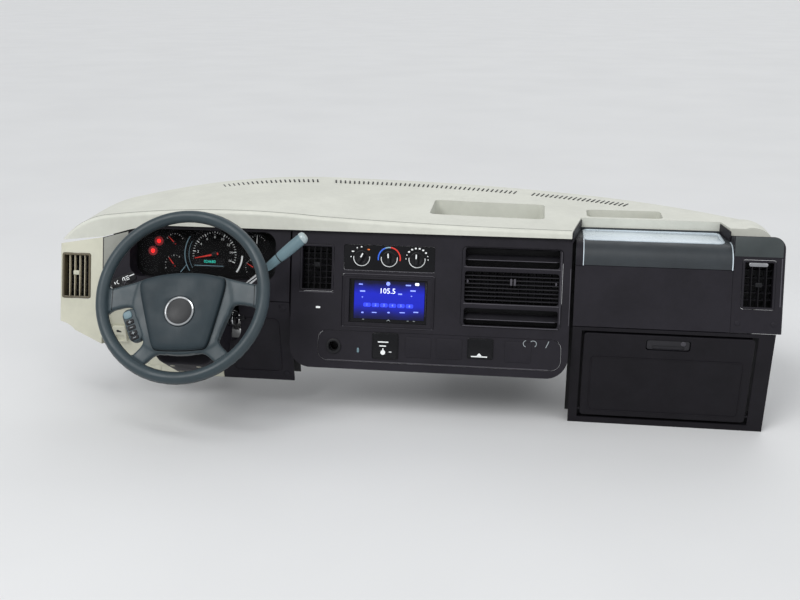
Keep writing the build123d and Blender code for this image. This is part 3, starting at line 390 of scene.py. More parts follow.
@dataclass(frozen=True)
class Display:
    """Lit display whose blue is brightest in its middle and dark at its head."""

    name: str
    low: float
    high: float

    def build(self) -> bpy.types.Material:
        """Make the material.

        Returns:
            The material.
        """
        tree = ShaderTree(self.name)
        height = tree.add("ShaderNodeSeparateXYZ", inputs={0: tree.place()}, output=2)
        share = height.between(self.low, self.high)
        cloud = tree.noise(0.03, 2.0).between(0.3, 0.7)
        stops = [
            (0.0, tint(8, 10, 44)),
            (0.12, tint(18, 24, 112)),
            (0.34, tint(24, 38, 200)),
            (0.62, tint(26, 40, 208)),
            (0.8, tint(16, 24, 128)),
            (0.88, tint(8, 10, 40)),
            (1.0, tint(5, 6, 22)),
        ]
        amount = share * 0.94 + cloud * 0.06
        blue = tree.add("ShaderNodeValToRGB", {"stops": stops}, {"Fac": amount})
        inputs = {
            "Base Color": (0.01, 0.01, 0.03, 1.0),
            "Roughness": 0.12,
            "Specular IOR Level": 0.15,
            "Emission Color": blue,
            "Emission Strength": 0.9,
        }
        return tree.close(inputs)


class Finish(Enum):
    """Every finish on the dashboard."""

    PAD = Moulded("pad_vinyl", tint(205, 206, 196), 0.52, 1.6, 0.1, 0.05, sheen=0.1)
    BEIGE = Moulded("beige_plastic", tint(198, 197, 180), 0.5, 1.1, 0.06, 0.05)
    DARK = Moulded("dark_plastic", tint(30, 28, 34), 0.5, 1.1, 0.06, 0.14, shine=0.2)
    # Darker copy of the dark plastic: painted shade on the glove box under the shelf.
    KNEE = Moulded("dark_plastic_painted_shade", tint(21, 19, 24), 0.55, 1.1, 0.06, 0.14, shine=0.2)
    # Paler grey-green strip on the right end housing's curved top: painted sheen.
    SHOULDER = Moulded("shoulder_painted_sheen", tint(57, 63, 64), 0.42, 1.4, 0.06, 0.1, shine=0.35)
    ROLL = Moulded("roll_vinyl", tint(46, 51, 55), 0.44, 1.4, 0.08, 0.12, shine=0.4)
    BROWN = Moulded("vent_frame_brown", tint(92, 84, 66), 0.42, 0.8, 0.03, 0.1)
    VENT = Moulded("vent_plastic", tint(24, 23, 26), 0.38, 0.8, 0.03, 0.12, shine=0.2)
    TAN = Moulded("tan_plastic", tint(190, 182, 160), 0.42, 0.8, 0.03, 0.08)
    DIAL = Moulded("dial_black", tint(9, 9, 11), 0.6, 0.8, 0.002, 0.1, shine=0.1)
    GLOSS = Moulded("gloss_black", tint(14, 14, 17), 0.22, 0.6, 0.005, 0.1, coat=0.1, shine=0.2)
    KNOB = Moulded("soft_knob", tint(24, 24, 27), 0.46, 0.5, 0.02, 0.1, shine=0.25)
    RIM = Moulded("rim_urethane", tint(42, 56, 62), 0.42, 0.9, 0.05, 0.1, sheen=0.1, shine=0.45)
    HUB = Moulded("hub_urethane", tint(34, 46, 52), 0.48, 1.0, 0.07, 0.1, shine=0.3)
    LEVER = Moulded("lever_grey", tint(98, 122, 130), 0.4, 0.7, 0.03, 0.08)
    # Paler grey of the lever's tip: painted highlight on its end.
    PALE = Moulded("lever_tip", tint(158, 172, 174), 0.3, 0.7, 0.02, 0.06, coat=0.3)
    DUCT = Moulded("duct_black", tint(34, 34, 36), 0.55, 2.2, 0.1, 0.2, shine=0.3)
    RUBBER = Moulded("rubber", tint(18, 18, 20), 0.75, 0.8, 0.05, 0.15, shine=0.2)
    CHROME = Metal("bright_metal", tint(226, 228, 230), 0.08, depth=0.004)
    BADGE = Moulded("badge_face", tint(22, 24, 27), 0.4, 0.6, 0.004, 0.1, shine=0.3)
    STEEL = Metal("machined_steel", tint(168, 169, 172), 0.28, (10, 1, 1), 0.5)
    ZINC = Metal("zinc_bolts", tint(178, 176, 164), 0.34, depth=0.03)
    ALUMINIUM = Metal("cast_aluminium", tint(158, 160, 162), 0.48, grain=1.1, depth=0.12)
    PAINT = Coated("black_coat", tint(36, 37, 39))
    LENS = Clear("clear_cover")
    SCREEN = Display("blue_display", -0.168, -0.084)
    WHITE = Print("white_print", tint(225, 228, 228), 0.25)
    GREY = Print("grey_print", tint(150, 158, 162), 0.1)
    ORANGE = Print("orange_print", tint(226, 118, 44), 0.25)
    RED = Print("red_print", tint(210, 44, 32), 0.3)
    BLUE = Print("blue_print", tint(40, 96, 214), 0.3)
    LAMP_RED = Print("lit_red", tint(235, 24, 22), 1.6)
    GLOW_RED = Print("lamp_glow", tint(104, 10, 16), 0.7)
    ICE = Print("pale_blue_print", tint(126, 158, 172), 0.2)
    TEAL = Print("lit_teal", tint(40, 190, 170), 0.9)
    LIT_WHITE = Print("lit_white", tint(222, 230, 255), 1.0)
    LIT_PALE = Print("lit_pale", tint(132, 150, 250), 0.8)
    LIT_BLUE = Print("lit_blue", tint(36, 56, 214), 0.9)
    # Lighter grey plastic of real rings, tabs and the lock, and of painted highlight lines along
    # edges.
    TRIM = Moulded("edge_plastic_and_painted_highlight", tint(74, 72, 78), 0.4, 0.9, 0.03, 0.08, shine=0.3)
    VANE = Moulded("vane_plastic", tint(36, 35, 39), 0.36, 0.8, 0.02, 0.1, shine=0.3)
    # Beige greyed down: painted shade, on the brow under the pad and along the crease of the pad's
    # lip.
    WELT = Moulded("beige_painted_shade", tint(138, 139, 132), 0.55, 1.0, 0.05, 0.08)
    MAT = Moulded("tray_mat", tint(150, 154, 147), 0.6, 1.2, 0.08, 0.08)
    # Pale blue: painted reflection of the sky on the shelf, and painted highlight lines at the
    # roll's ends.
    SHELF = Moulded("shelf_painted_sky_reflection", tint(200, 212, 220), 0.24, 1.2, 0.02, 0.06, coat=0.6)


class Workshop:
    """Keeps one material for each finish."""

    stock: dict[Finish, bpy.types.Material] = {}

    @classmethod
    def material(cls, finish: Finish) -> bpy.types.Material:
        """Make a finish's material when it is first asked for.

        Args:
            finish: The finish.

        Returns:
            Its material.
        """
        if finish not in cls.stock:
            cls.stock[finish] = finish.value.build()
        return cls.stock[finish]

    @classmethod
    def dress(cls, thing: Thing, finish: Finish) -> None:
        """Give a whole object one finish.

        Args:
            thing: The object.
            finish: Its finish.
        """
        material = cls.material(finish)
        if not thing.material_slots:
            thing.data.materials.append(material)
        for slot in thing.material_slots:
            slot.material = material


@dataclass(frozen=True)
class Seat:
    """Place that pieces are modelled on, in mm: x to the right, y up the face and z out of it.

    A lean of 90 gives the vehicle's own axes, and 0 a face that looks at the driver. The body
    is the one that the pieces on this seat move with.
    """

    origin: Place = (0, 0, 0)
    lean: float = 90
    turn: float = 0
    yaw: float = 0
    body: str = "dash"

    def matrix(self) -> Matrix:
        """Work out how the seat's mm lie in the vehicle's metres.

        Returns:
            The matrix.
        """
        yaw = Matrix.Rotation(math.radians(self.yaw), 4, "Z")
        lean = Matrix.Rotation(math.radians(90 - self.lean), 4, "X")
        turn = Matrix.Rotation(math.radians(self.turn), 4, "Z")
        return Matrix.Scale(MM, 4) @ Matrix.Translation(self.origin) @ yaw @ lean @ turn


VEHICLE = Seat()
FASCIA = Seat((0, -430, 0), 14)
BOLSTER = Seat((0, -465.58, -142.69), -8)
KNEES = Seat((0, -471.89, -168), -8)
GLOVE = replace(KNEES, body="glove_door")
COLUMN = Seat((-468, -603, -92), 32, body="tilt_head")
WHEEL = replace(COLUMN, turn=4, body="wheel")
BEHIND = Seat((0, -48, 0), 0, 0, 180)


def spot(x: float, y: float, z: float = 0, turn: float = 0, axis: str = "Z") -> Matrix:
    """Matrix that turns a piece about an axis by some degrees and moves it to a place."""
    return Matrix.Translation((x, y, z)) @ Matrix.Rotation(math.radians(turn), 4, axis)


def polar(radius: float, degrees: float, x: float = 0, y: float = 0) -> Point:
    """Point at a radius and an angle round a centre."""
    angle = math.radians(degrees)
    return x + radius * math.cos(angle), y + radius * math.sin(angle)


def flow(points: Sequence[Point], steps: int = 4) -> list[Point]:
    """Draw a smooth closed line through points.

    Args:
        points: Points in order round the line.
        steps: Parts that each stretch between two points is drawn in.

    Returns:
        Points of the smooth line.
    """
    line = []
    for k in range(len(points)):
        a, b, c, d = (Vector(points[(k + shift) % len(points)]) for shift in (-1, 0, 1, 2))
        for t in (step / steps for step in range(steps)):
            bend = (2 * a - 5 * b + 4 * c - d) * t * t + (3 * b - a - 3 * c + d) * t**3
            line.append(tuple((2 * b + (c - a) * t + bend) / 2))
    return line


def arc(start: Point, middle: Point, end: Point, steps: int, grow: float = 0) -> list[Point]:
    """Divide the arc through three points.

    Args:
        start: Its first point.
        middle: A point on it.
        end: Its last point.
        steps: Parts that it is divided in.
        grow: Distance that it is moved away from its centre.

    Returns:
        Points along the arc, both ends included.
    """
    (ax, ay), (bx, by), (cx, cy) = start, middle, end
    d = 2 * (ax * (by - cy) + bx * (cy - ay) + cx * (ay - by))
    a2, b2, c2 = ax * ax + ay * ay, bx * bx + by * by, cx * cx + cy * cy
    x = (a2 * (by - cy) + b2 * (cy - ay) + c2 * (ay - by)) / d
    y = (a2 * (cx - bx) + b2 * (ax - cx) + c2 * (bx - ax)) / d
    radius = math.hypot(ax - x, ay - y) + grow
    first = math.degrees(math.atan2(ay - y, ax - x))
    sweep = math.degrees(math.atan2(cy - y, cx - x)) - first
    return [polar(radius, first + sweep * k / steps, x, y) for k in range(steps + 1)]


def mirrored(points: Sequence[Point], side: int) -> list[Point]:
    """Points as they are for side 1, or their mirror image for side -1."""
    return [(side * x, y) for x, y in points][::side]


class Bench:
    """Modelling moves, in mm on the seat's own axes, each made on one object at a time."""

    corner_steps: int = 5
    edge_steps: int = 3
    bend_step: float = 6
    print_height: float = 0.15

    @staticmethod
    def start() -> None:
        """Leave edit mode and deselect everything, before a primitive is added."""
        if bpy.context.mode != "OBJECT":
            bpy.ops.object.mode_set(mode="OBJECT")
        bpy.ops.object.select_all(action="DESELECT")

    @classmethod
    def hold(cls, *things: Thing) -> None:
        """Select these objects alone, the first of them active.

        Args:
            things: The objects.
        """
        cls.start()
        for thing in things:
            thing.select_set(True)
        bpy.context.view_layer.objects.active = things[0]

    @staticmethod
    def named(name: str) -> Thing:
        """Name the active object.

        Args:
            name: Its new name.

        Returns:
            The object.
        """
        thing = bpy.context.active_object
        thing.name = name
        thing.data.name = name
        return thing

    @classmethod
    def edit(cls, name: str) -> Thing:
        """Name the primitive that was just added, and open it with everything selected.

        Args:
            name: Its name.

        Returns:
            The object.
        """
        thing = cls.named(name)
        bpy.ops.object.transform_apply()
        bpy.ops.object.mode_set(mode="EDIT")
        bpy.ops.mesh.select_all(action="SELECT")
        return thing

    @classmethod
    def pick(cls, thing: Thing, kind: str, test: Test) -> None:
        """Open an object in edit mode with only some of its parts selected.

        Args:
            thing: The mesh object.
            kind: "FACE", "EDGE" or "VERT".
            test: Says of a face, edge or vertex whether it is selected.
        """
        if bpy.context.mode != "EDIT_MESH":
            cls.hold(thing)
            bpy.ops.object.mode_set(mode="EDIT")
        bpy.ops.mesh.select_mode(type=kind)
        bpy.ops.mesh.select_all(action="DESELECT")
        shape = bmesh.from_edit_mesh(thing.data)
        for part in {"FACE": shape.faces, "EDGE": shape.edges, "VERT": shape.verts}[kind]:
            if test(part):
                part.select_set(True)
        bmesh.update_edit_mesh(thing.data)

    @classmethod
    def pick_front(cls, thing: Thing) -> None:
        """Open an object with only its frontmost faces selected."""
        top = max(vertex.co.z for vertex in thing.data.vertices) - 0.001
        cls.pick(thing, "FACE", lambda face: all(vertex.co.z > top for vertex in face.verts))

    @staticmethod
    def push(x: float, y: float, z: float) -> None:
        """Extrude what is selected and move it."""
        bpy.ops.mesh.extrude_region_move(TRANSFORM_OT_translate={"value": (x, y, z)})

    @classmethod
    def done(cls, merge: float = 0.0) -> None:
        """Merge doubled points if asked, turn every face outwards and leave edit mode.

        Args:
            merge: Distance under which points are merged.
        """
        bpy.ops.mesh.select_all(action="SELECT")
        if merge > 0:
            bpy.ops.mesh.remove_doubles(threshold=merge)
        bpy.ops.mesh.normals_make_consistent(inside=False)
        bpy.ops.object.mode_set(mode="OBJECT")

    @classmethod
    def modify(cls, thing: Thing, kind: str, **settings: Any) -> None:
        """Add a modifier and apply it.

        Args:
            thing: The piece.
            kind: Type of the modifier.
            settings: Its properties.
        """
        cls.hold(thing)
        modifier = thing.modifiers.new(kind.lower(), kind)
        for name, value in settings.items():
            setattr(modifier, name, value)
        bpy.ops.object.modifier_apply(modifier=modifier.name)

    @classmethod
    def soften(cls, thing: Thing, width: float, segments: int = 2, angle: float = 35) -> Thing:
        """Round every sharp edge.

        Args:
            thing: The piece.
            width: Width of the rounding.
            segments: Faces across it.
            angle: Angle in degrees above which an edge is sharp.

        Returns:
            The same piece.
        """
        limit = {"limit_method": "ANGLE", "angle_limit": math.radians(angle)}
        cls.modify(thing, "BEVEL", width=width, segments=segments, **limit)
        return thing

    @classmethod
    def cut(cls, thing: Thing, *cutters: Thing) -> Thing:
        """Cut other objects out of a mesh, and throw them away.

        Args:
            thing: The piece.
            cutters: What is cut out.

        Returns:
            The same piece.
        """
        for cutter in cutters:
            cls.modify(thing, "BOOLEAN", operation="DIFFERENCE", object=cutter, solver="EXACT")
            bpy.data.objects.remove(cutter)
        return thing

    @classmethod
    def groove(cls, thing: Thing, place: Point, normal: Point, width: float, depth: float) -> None:
        """Sink a seam into a piece all round it.

        Args:
            thing: The piece.
            place: Point of the seam's plane, on x and y.
            normal: Direction that the plane faces, on x and y.
            width: Width of the seam.
            depth: Depth of the seam.
        """
        facing = Vector((*normal, 0)).normalized()
        middle = Vector((*place, 0))
        cls.pick(thing, "FACE", lambda face: True)
        for side in (-0.5, 0.5):
            bpy.ops.mesh.select_all(action="SELECT")
            plane = middle + facing * width * side
            bpy.ops.mesh.bisect(plane_co=plane, plane_no=facing)
        reach = width * 0.45

        def is_near(face: bmesh.types.BMFace) -> bool:
            """Say whether a face lies in the seam."""
            return abs((face.calc_center_median() - middle).dot(facing)) < reach

        cls.pick(thing, "FACE", is_near)
        bpy.ops.mesh.extrude_region_shrink_fatten(TRANSFORM_OT_shrink_fatten={"value": -depth})
        cls.done()

    @classmethod
    def settle(cls, thing: Thing, place: Matrix) -> Thing:
        """Move a mesh to its place, and apply the place to its mesh.

        Args:
            thing: The piece.
            place: Matrix that moves it.

        Returns:
            The same piece.
        """
        thing.matrix_world = place @ thing.matrix_world
        cls.hold(thing)
        bpy.ops.object.transform_apply()
        return thing

    @classmethod
    def join(cls, things: Sequence[Thing], name: str) -> Thing:
        """Join meshes into one object.

        Args:
            things: The meshes.
            name: Its name.

        Returns:
            The object.
        """
        cls.hold(*things)
        if len(things) > 1:
            bpy.ops.object.join()
        return cls.named(name)

    @classmethod
    def copies(cls, thing: Thing, places: Iterable[Matrix], name: str) -> Thing:
        """Repeat a mesh, joined into one object.

        Args:
            thing: The mesh, used up.
            places: Where each copy goes.
            name: Name of the object.

        Returns:
            The object.
        """
        made = []
        for place in places:
            twin = thing.copy()
            twin.data = thing.data.copy()
            bpy.context.collection.objects.link(twin)
            made.append(cls.settle(twin, place))
        bpy.data.objects.remove(thing)
        return cls.join(made, name)

    @classmethod
    def sheet(cls, name: str, size: Place, at: Place, corner: float) -> Thing:
        """Start a flat sheet with rounded corners, and leave it open and selected.

        Args:
            name: Name of the object.
            size: Width, height and thickness, of which the last comes later.
            at: Its middle.
            corner: Radius of its corners.

        Returns:
            The sheet.
        """
        cls.start()
        bpy.ops.mesh.primitive_plane_add(size=1, location=at)
        bpy.context.active_object.scale = (size[0], size[1], 1)
        thing = cls.edit(name)
        if corner > 0:
            bpy.ops.mesh.bevel(offset=corner, segments=cls.corner_steps, affect="VERTICES")
            bpy.ops.mesh.select_all(action="SELECT")
        return thing

    @classmethod
    def plate(
        cls, name: str, size: Place, at: Place = (0, 0, 0), corner: float = 0.0, edge: float = 0.0
    ) -> Thing:
        """Model a plate with rounded corners and a rounded front edge.

        Args:
            name: Name of the object.
            size: Width, height and thickness.
            at: Middle of its back face.
            corner: Radius of its corners.
            edge: Radius of its front edge.

        Returns:
            The plate.
        """
        thing = cls.sheet(name, size, at, corner)
        cls.push(0, 0, size[2])
        cls.done()
        if edge > 0:
            cls.pick_front(thing)
            bpy.ops.mesh.bevel(offset=edge, segments=cls.edge_steps, affect="EDGES")
            cls.done()
        return thing

    @classmethod
    def ring(
        cls, name: str, size: Place, wall: float, at: Place = (0, 0, 0),
        corner: float = 0.0, edge: float = 0.0,
    ) -> Thing:
        """Model a frame with rounded corners.

        Args:
            name: Name of the object.
            size: Width, height and thickness.
            wall: Width of its sides.
            at: Middle of its back.
            corner: Radius of its outer corners.
            edge: Radius of its edges.

        Returns:
            The frame.
        """
        thing = cls.sheet(name, size, at, corner)
        bpy.ops.mesh.inset(thickness=wall)
        bpy.ops.mesh.delete(type="FACE")
        bpy.ops.mesh.select_all(action="SELECT")
        cls.push(0, 0, size[2])
        cls.done()
        if edge > 0:
            cls.soften(thing, edge, 2, 60)
        return thing

    @classmethod
    def outline(
        cls, name: str, points: Sequence[Point], thick: float, low: float = 0.0
    ) -> Thing:
        """Trace an outline point by point, fill it and pull it up to a thickness.

        Args:
            name: Name of the object.
            points: Its corners in order.
            thick: Its thickness.
            low: Height of its back.

        Returns:
            The piece.
        """
        cls.start()
        bpy.ops.mesh.primitive_circle_add(vertices=3, radius=1)
        thing = cls.edit(name)
        first = bmesh.from_edit_mesh(thing.data).verts[:][0].co.copy()
        cls.pick(thing, "VERT", lambda vertex: (vertex.co - first).length > 0.1)
        bpy.ops.mesh.delete(type="VERT")
        bpy.ops.mesh.select_all(action="SELECT")
        bpy.ops.transform.translate(value=Vector((*points[0], low)) - first)
        for before, after in zip(points, points[1:]):
            step = (after[0] - before[0], after[1] - before[1], 0)
            bpy.ops.mesh.extrude_vertices_move(TRANSFORM_OT_translate={"value": step})
        bpy.ops.mesh.select_all(action="SELECT")
        bpy.ops.mesh.edge_face_add()
        cls.push(0, 0, thick)
        cls.done()
        return thing

    @classmethod
    def crown(cls, thing: Thing, centre: Point, steps: Sequence[Point]) -> None:
        """Swell the front face by raising it and drawing it in.

        Args:
            thing: The piece.
            centre: Point that it is drawn in to.
            steps: Share and rise of each step.
        """
        cls.pick_front(thing)
        for share, rise in steps:
            cls.push(0, 0, rise)
            bpy.ops.transform.resize(value=(share, share, 1), center_override=(*centre, 0))
        cls.done()

    @classmethod
    def turned(
        cls, name: str, profile: Sequence[Point], sides: int = 32, at: Place = (0, 0, 0)
    ) -> Thing:
        """Model a turned piece about z.

        Args:
            name: Name of the object.
            profile: Radius and height of each ring, from its back to its front.
            sides: Number of sides.
            at: Middle of its back.

        Returns:
            The piece.
        """
        cls.start()
        radius, height = profile[0]
        low = at[2] + height
        bpy.ops.mesh.primitive_circle_add(
            vertices=sides, radius=radius, location=(at[0], at[1], low), fill_type="NGON"
        )
        thing = cls.edit(name)
        for next_radius, next_height in profile[1:]:
            cls.push(0, 0, next_height - height)
            share = next_radius / radius
            centre = (at[0], at[1], at[2] + next_height)
            bpy.ops.transform.resize(value=(share, share, 1), center_override=centre)
            radius, height = next_radius, next_height
        cls.done()
        return thing

    @classmethod
    def rod(
        cls, name: str, line: Sequence[Place], span: Point, radii: Sequence[float],
        sides: int = 20, flat: float = 1.0,
    ) -> Thing:
        """Model a rod on a part of the line between two points.

        Args:
            name: Name of the object.
            line: Both ends of the line.
            span: Where the rod starts and ends, as shares of the line.
            radii: Its radius at even steps along it.
            sides: Number of sides.
            flat: Its thickness towards the driver, as a share of its width.

        Returns:
            The rod.
        """
        start, end = (Vector(line[0]).lerp(Vector(line[1]), share) for share in span)
        run = end - start
        gap = run.length / (len(radii) - 1)
        thing = cls.turned(name, [(radius, k * gap) for k, radius in enumerate(radii)], sides)
        turn = run.to_track_quat("Z", "Y").to_matrix().to_4x4()
        squeeze = Matrix.Diagonal((1, flat, 1, 1))
        return cls.settle(thing, Matrix.Translation(start) @ turn @ squeeze)

    @classmethod
    def blade(cls, length: float, depth: float) -> Thing:
        """Model one vane with rounded edges, lying along x and facing up.

        Args:
            length: Its length.
            depth: Its depth.

        Returns:
            The vane.
        """
        vane = cls.plate("vane", (length, depth, 1.7), (0, 0, -0.85), 0.6)
        cls.soften(vane, 0.7, 2, 60)
        return cls.settle(vane, spot(0, 0, 0, 90, "X"))

    @staticmethod
    def spread(count: int, reach: float) -> list[float]:
        """Places of a number of vanes, spread evenly over a reach about its middle."""
        return [reach * ((k + 1) / (count + 1) - 0.5) for k in range(count)]

    @classmethod
    def bow(
        cls, name: str, radius: float, section: Point, start: float, sweep: float,
        at: Place = (0, 0, 0),
    ) -> Thing:
        """Model a bar bent round z.

        Args:
            name: Name of the object.
            radius: Radius of the bend.
            section: Width and height of the bar.
            start: Angle of its first end in degrees.
            sweep: Angle that it covers, anticlockwise.
            at: Centre of the bend.

        Returns:
            The bar.
        """
        cls.start()
        place = {"location": (radius, 0, 0), "rotation": (math.pi / 2, 0, 0)}
        bpy.ops.mesh.primitive_circle_add(vertices=8, radius=0.5, fill_type="NGON", **place)
        bpy.context.active_object.scale = (section[0], section[1], 1)
        thing = cls.edit(name)
        turn = math.radians(sweep)
        steps = max(4, round(sweep / cls.bend_step))
        bpy.ops.mesh.spin(steps=steps, angle=turn, center=(0, 0, 0), axis=(0, 0, -1))
        cls.done(0.001)
        return cls.settle(thing, spot(*at, start))

    @classmethod
    def words(cls, text: str, size: float, at: Place) -> Thing:
        """Make digits or a plain sign as a thin mesh, centred on its place.

        Args:
            text: What it says.
            size: Height of its type.
            at: Its middle.

        Returns:
            The piece.
        """
        cls.start()
        bpy.ops.object.text_add()
        thing = cls.named("digits")
        thing.data.body = text
        thing.data.size = size
        thing.data.align_x = "CENTER"
        thing.data.align_y = "CENTER"
        thing.data.extrude = cls.print_height / 2
        thing.data.resolution_u = 2
        bpy.ops.object.convert(target="MESH")
        return cls.settle(bpy.context.active_object, spot(*at))

    @classmethod
    def fit(
        cls, thing: Thing, seat: Seat, slot: str, finish: Finish, nodes: Sequence[str] = (),
        smooth: float = 35,
    ) -> None:
        """Set a finished piece on its seat, dress it and say what it rides on.

        Args:
            thing: The piece, in mm on the seat's axes.
            seat: Where it sits, and what it moves with.
            slot: The record's material slot; not used.
            finish: Its finish.
            nodes: Solids that it stands for.
            smooth: Angle in degrees under which its faces are shaded as one.
        """
        body = seat.body
        cls.settle(thing, seat.matrix())
        bpy.ops.object.shade_smooth_by_angle(angle=math.radians(smooth))
        Workshop.dress(thing, finish)
        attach(thing, body)
        if nodes:
            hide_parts(*nodes)
        log.info("%s rides on %s, %d faces", thing.name, body, len(thing.data.polygons))


@dataclass
class SteeringWheel:
    """Four-spoke steering wheel with its cover, a bare round plate and a switch pod."""

    radius: float = 181.5
    tube: float = 13.5
    voxel: float = 2.6
    blend: float = 0.6
    blend_rounds: int = 7
    face: float = -3
    centre: Point = (0, -38)
    pod: Point = (-109, -62)
    pod_turn: float = 21
    upper_spoke: tuple[Point, ...] = (
        (70, 38), (97, 38), (120, 32), (150, 25), (172, 20), (180, 10), (181, -10), (178, -34),
        (168, -36), (158, -28), (145, -24.5), (128, -21), (117, -22), (110, -28), (106, -38),
        (100, -50), (70, -50),
    )
    lower_spoke: tuple[Point, ...] = (
        (30, -90), (84, -88), (83, -98), (86, -106), (92, -114), (100, -122), (108, -130),
        (116, -137), (96, -156), (88, -152), (76, -146), (68, -139), (58, -131), (46, -127),
        (30, -126),
    )
    shell: tuple[Point, ...] = (
        (0, 50), (50, 46.5), (92, 38.5), (101, 28), (110, -20), (98, -56), (84, -92), (76, -109),
        (40, -125), (0, -130),
    )
    cover: tuple[Point, ...] = (
        (0, 50), (30, 48.6), (60, 44.5), (88, 37), (94.5, 28), (93, 10), (86, -20), (77, -55),
        (68, -88), (61, -110), (54, -118), (42, -120), (20, -121.6), (0, -122),
    )

    def build(self) -> None:
        """Build the whole wheel."""
        self.build_rim()
        self.build_cover()
        self.build_badge()
        self.build_pod()

    def closed(self, half: Sequence[Point], share: float = 1.0) -> list[Point]:
        """Close and smooth an outline about the wheel's centre.

        Args:
            half: Its right half.
            share: Share that it is drawn out to.

        Returns:
            The outline.
        """
        points = [*half, *mirrored(half[1:-1], -1)]
        x0, y0 = self.centre
        return flow([(x0 + (x - x0) * share, y0 + (y - y0) * share) for x, y in points], 3)

    def build_rim(self) -> None:
        """Blend the rim, spokes and hub shell into one smooth moulding."""
        Bench.start()
        radii = {"major_radius": self.radius, "minor_radius": self.tube}
        bpy.ops.mesh.primitive_torus_add(major_segments=128, minor_segments=24, **radii)
        parts = [Bench.named("rim")]
        for side in (-1, 1):
            for points in (self.upper_spoke, self.lower_spoke):
                line = mirrored(flow(points, 3), side)
                parts.append(Bench.outline("spoke", line, 15, self.face - 15))
        parts.append(Bench.outline("hub_shell", self.closed(self.shell), 24, self.face - 22))
        back = [(34, -48), (44, -47), (58, -40), (66, -30), (68, -22)]
        parts.append(Bench.turned("hub_back", back, 48, (0, -36, 0)))
        wheel = Bench.join(parts, "wheel_rim_and_spokes")
        Bench.modify(wheel, "REMESH", mode="VOXEL", voxel_size=self.voxel)
        Bench.modify(wheel, "SMOOTH", factor=self.blend, iterations=self.blend_rounds)
        Bench.fit(wheel, WHEEL, "wheel_rim", Finish.RIM, ["wheel_frame"], 60)
        parting = Bench.bow("rim_parting", self.radius, (2 * self.tube + 0.7, 0.5), 0, 360)
        Bench.fit(parting, WHEEL, "wheel_rim", Finish.RUBBER)
        seams = [Bench.plate("seam", (1.3, 48, 1), (x, -3, self.face - 0.9)) for x in (-159, 159)]
        Bench.fit(Bench.join(seams, "spoke_seams"), WHEEL, "wheel_rim", Finish.RUBBER)

    def build_cover(self) -> None:
        """Build the crowned cover of the hub, with a seat for the round plate."""
        cover = Bench.outline("hub_cover", self.closed(self.cover), 8, self.face)
        steps = [(0.99, 2.4), (0.975, 2.2), (0.95, 1.7), (0.9, 1.3), (0.82, 0.9), (0.6, 0.5)]
        Bench.crown(cover, self.centre, steps)
        Bench.cut(cover, Bench.turned("seat", [(34.4, 12), (34.4, 30)], 64, (*self.centre, 0)))
        Bench.soften(cover, 0.6, 2, 50)
        Bench.fit(cover, WHEEL, "wheel_pad", Finish.HUB, ["hub_pad"], 40)
        gap = Bench.outline("cover_gap", self.closed(self.cover, 1.014), 3.2, self.face)
        Bench.fit(gap, WHEEL, "wheel_pad", Finish.RUBBER)

    def build_badge(self) -> None:
        """Build the bare round plate in its bright ring."""
        at = (*self.centre, 0)
        ring = [(33, 11.8), (33, 14.8), (32, 16.4), (30, 17), (28.4, 16.2), (28, 14.6)]
        rim = Bench.turned("badge_ring", ring, 64, at)
        Bench.fit(rim, WHEEL, "chrome", Finish.CHROME, ["badge_plate"])
        dish = [(28, 14.4), (28, 15), (22, 15.8), (12, 16.5), (1, 16.8)]
        face = Bench.turned("badge_face", dish, 64, at)
        Bench.fit(face, WHEEL, "badge", Finish.BADGE)

    def build_pod(self) -> None:
        """Build the switch pod beside the hub, with its keys and their marks."""
        place = spot(*self.pod, 0, self.pod_turn)
        body = Bench.settle(Bench.plate("switch_body", (32, 76, 15.5), (0, 0, -18), 14, 3), place)
        Bench.fit(body, WHEEL, "lever_grey", Finish.RIM, ["switch_pod"])
        top = Bench.plate("switch_top_key", (19, 17, 3.4), (-3, 25, -3), 6, 1.6)
        Bench.fit(Bench.settle(top, place), WHEEL, "lever_grey", Finish.LEVER)
        rows = (8, -5, -18, -29)
        key = Bench.plate("key", (18, 10, 2.4), (-3, 0, -3), 3, 1)
        keys = Bench.settle(Bench.copies(key, [spot(0, row) for row in rows], "switch_keys"), place)
        Bench.fit(keys, WHEEL, "lever_grey", Finish.KNOB)
        marks = [Bench.plate("mark", (7, 1.1, 0.3), (-3, row, -0.6)) for row in rows]
        marks += [Bench.plate("mark", (1.1, 7, 0.3), (-3, row, -0.6)) for row in rows[::2]]
        signs = Bench.settle(Bench.join(marks, "switch_marks"), place)
        Bench.fit(signs, WHEEL, "lever_grey", Finish.GREY)


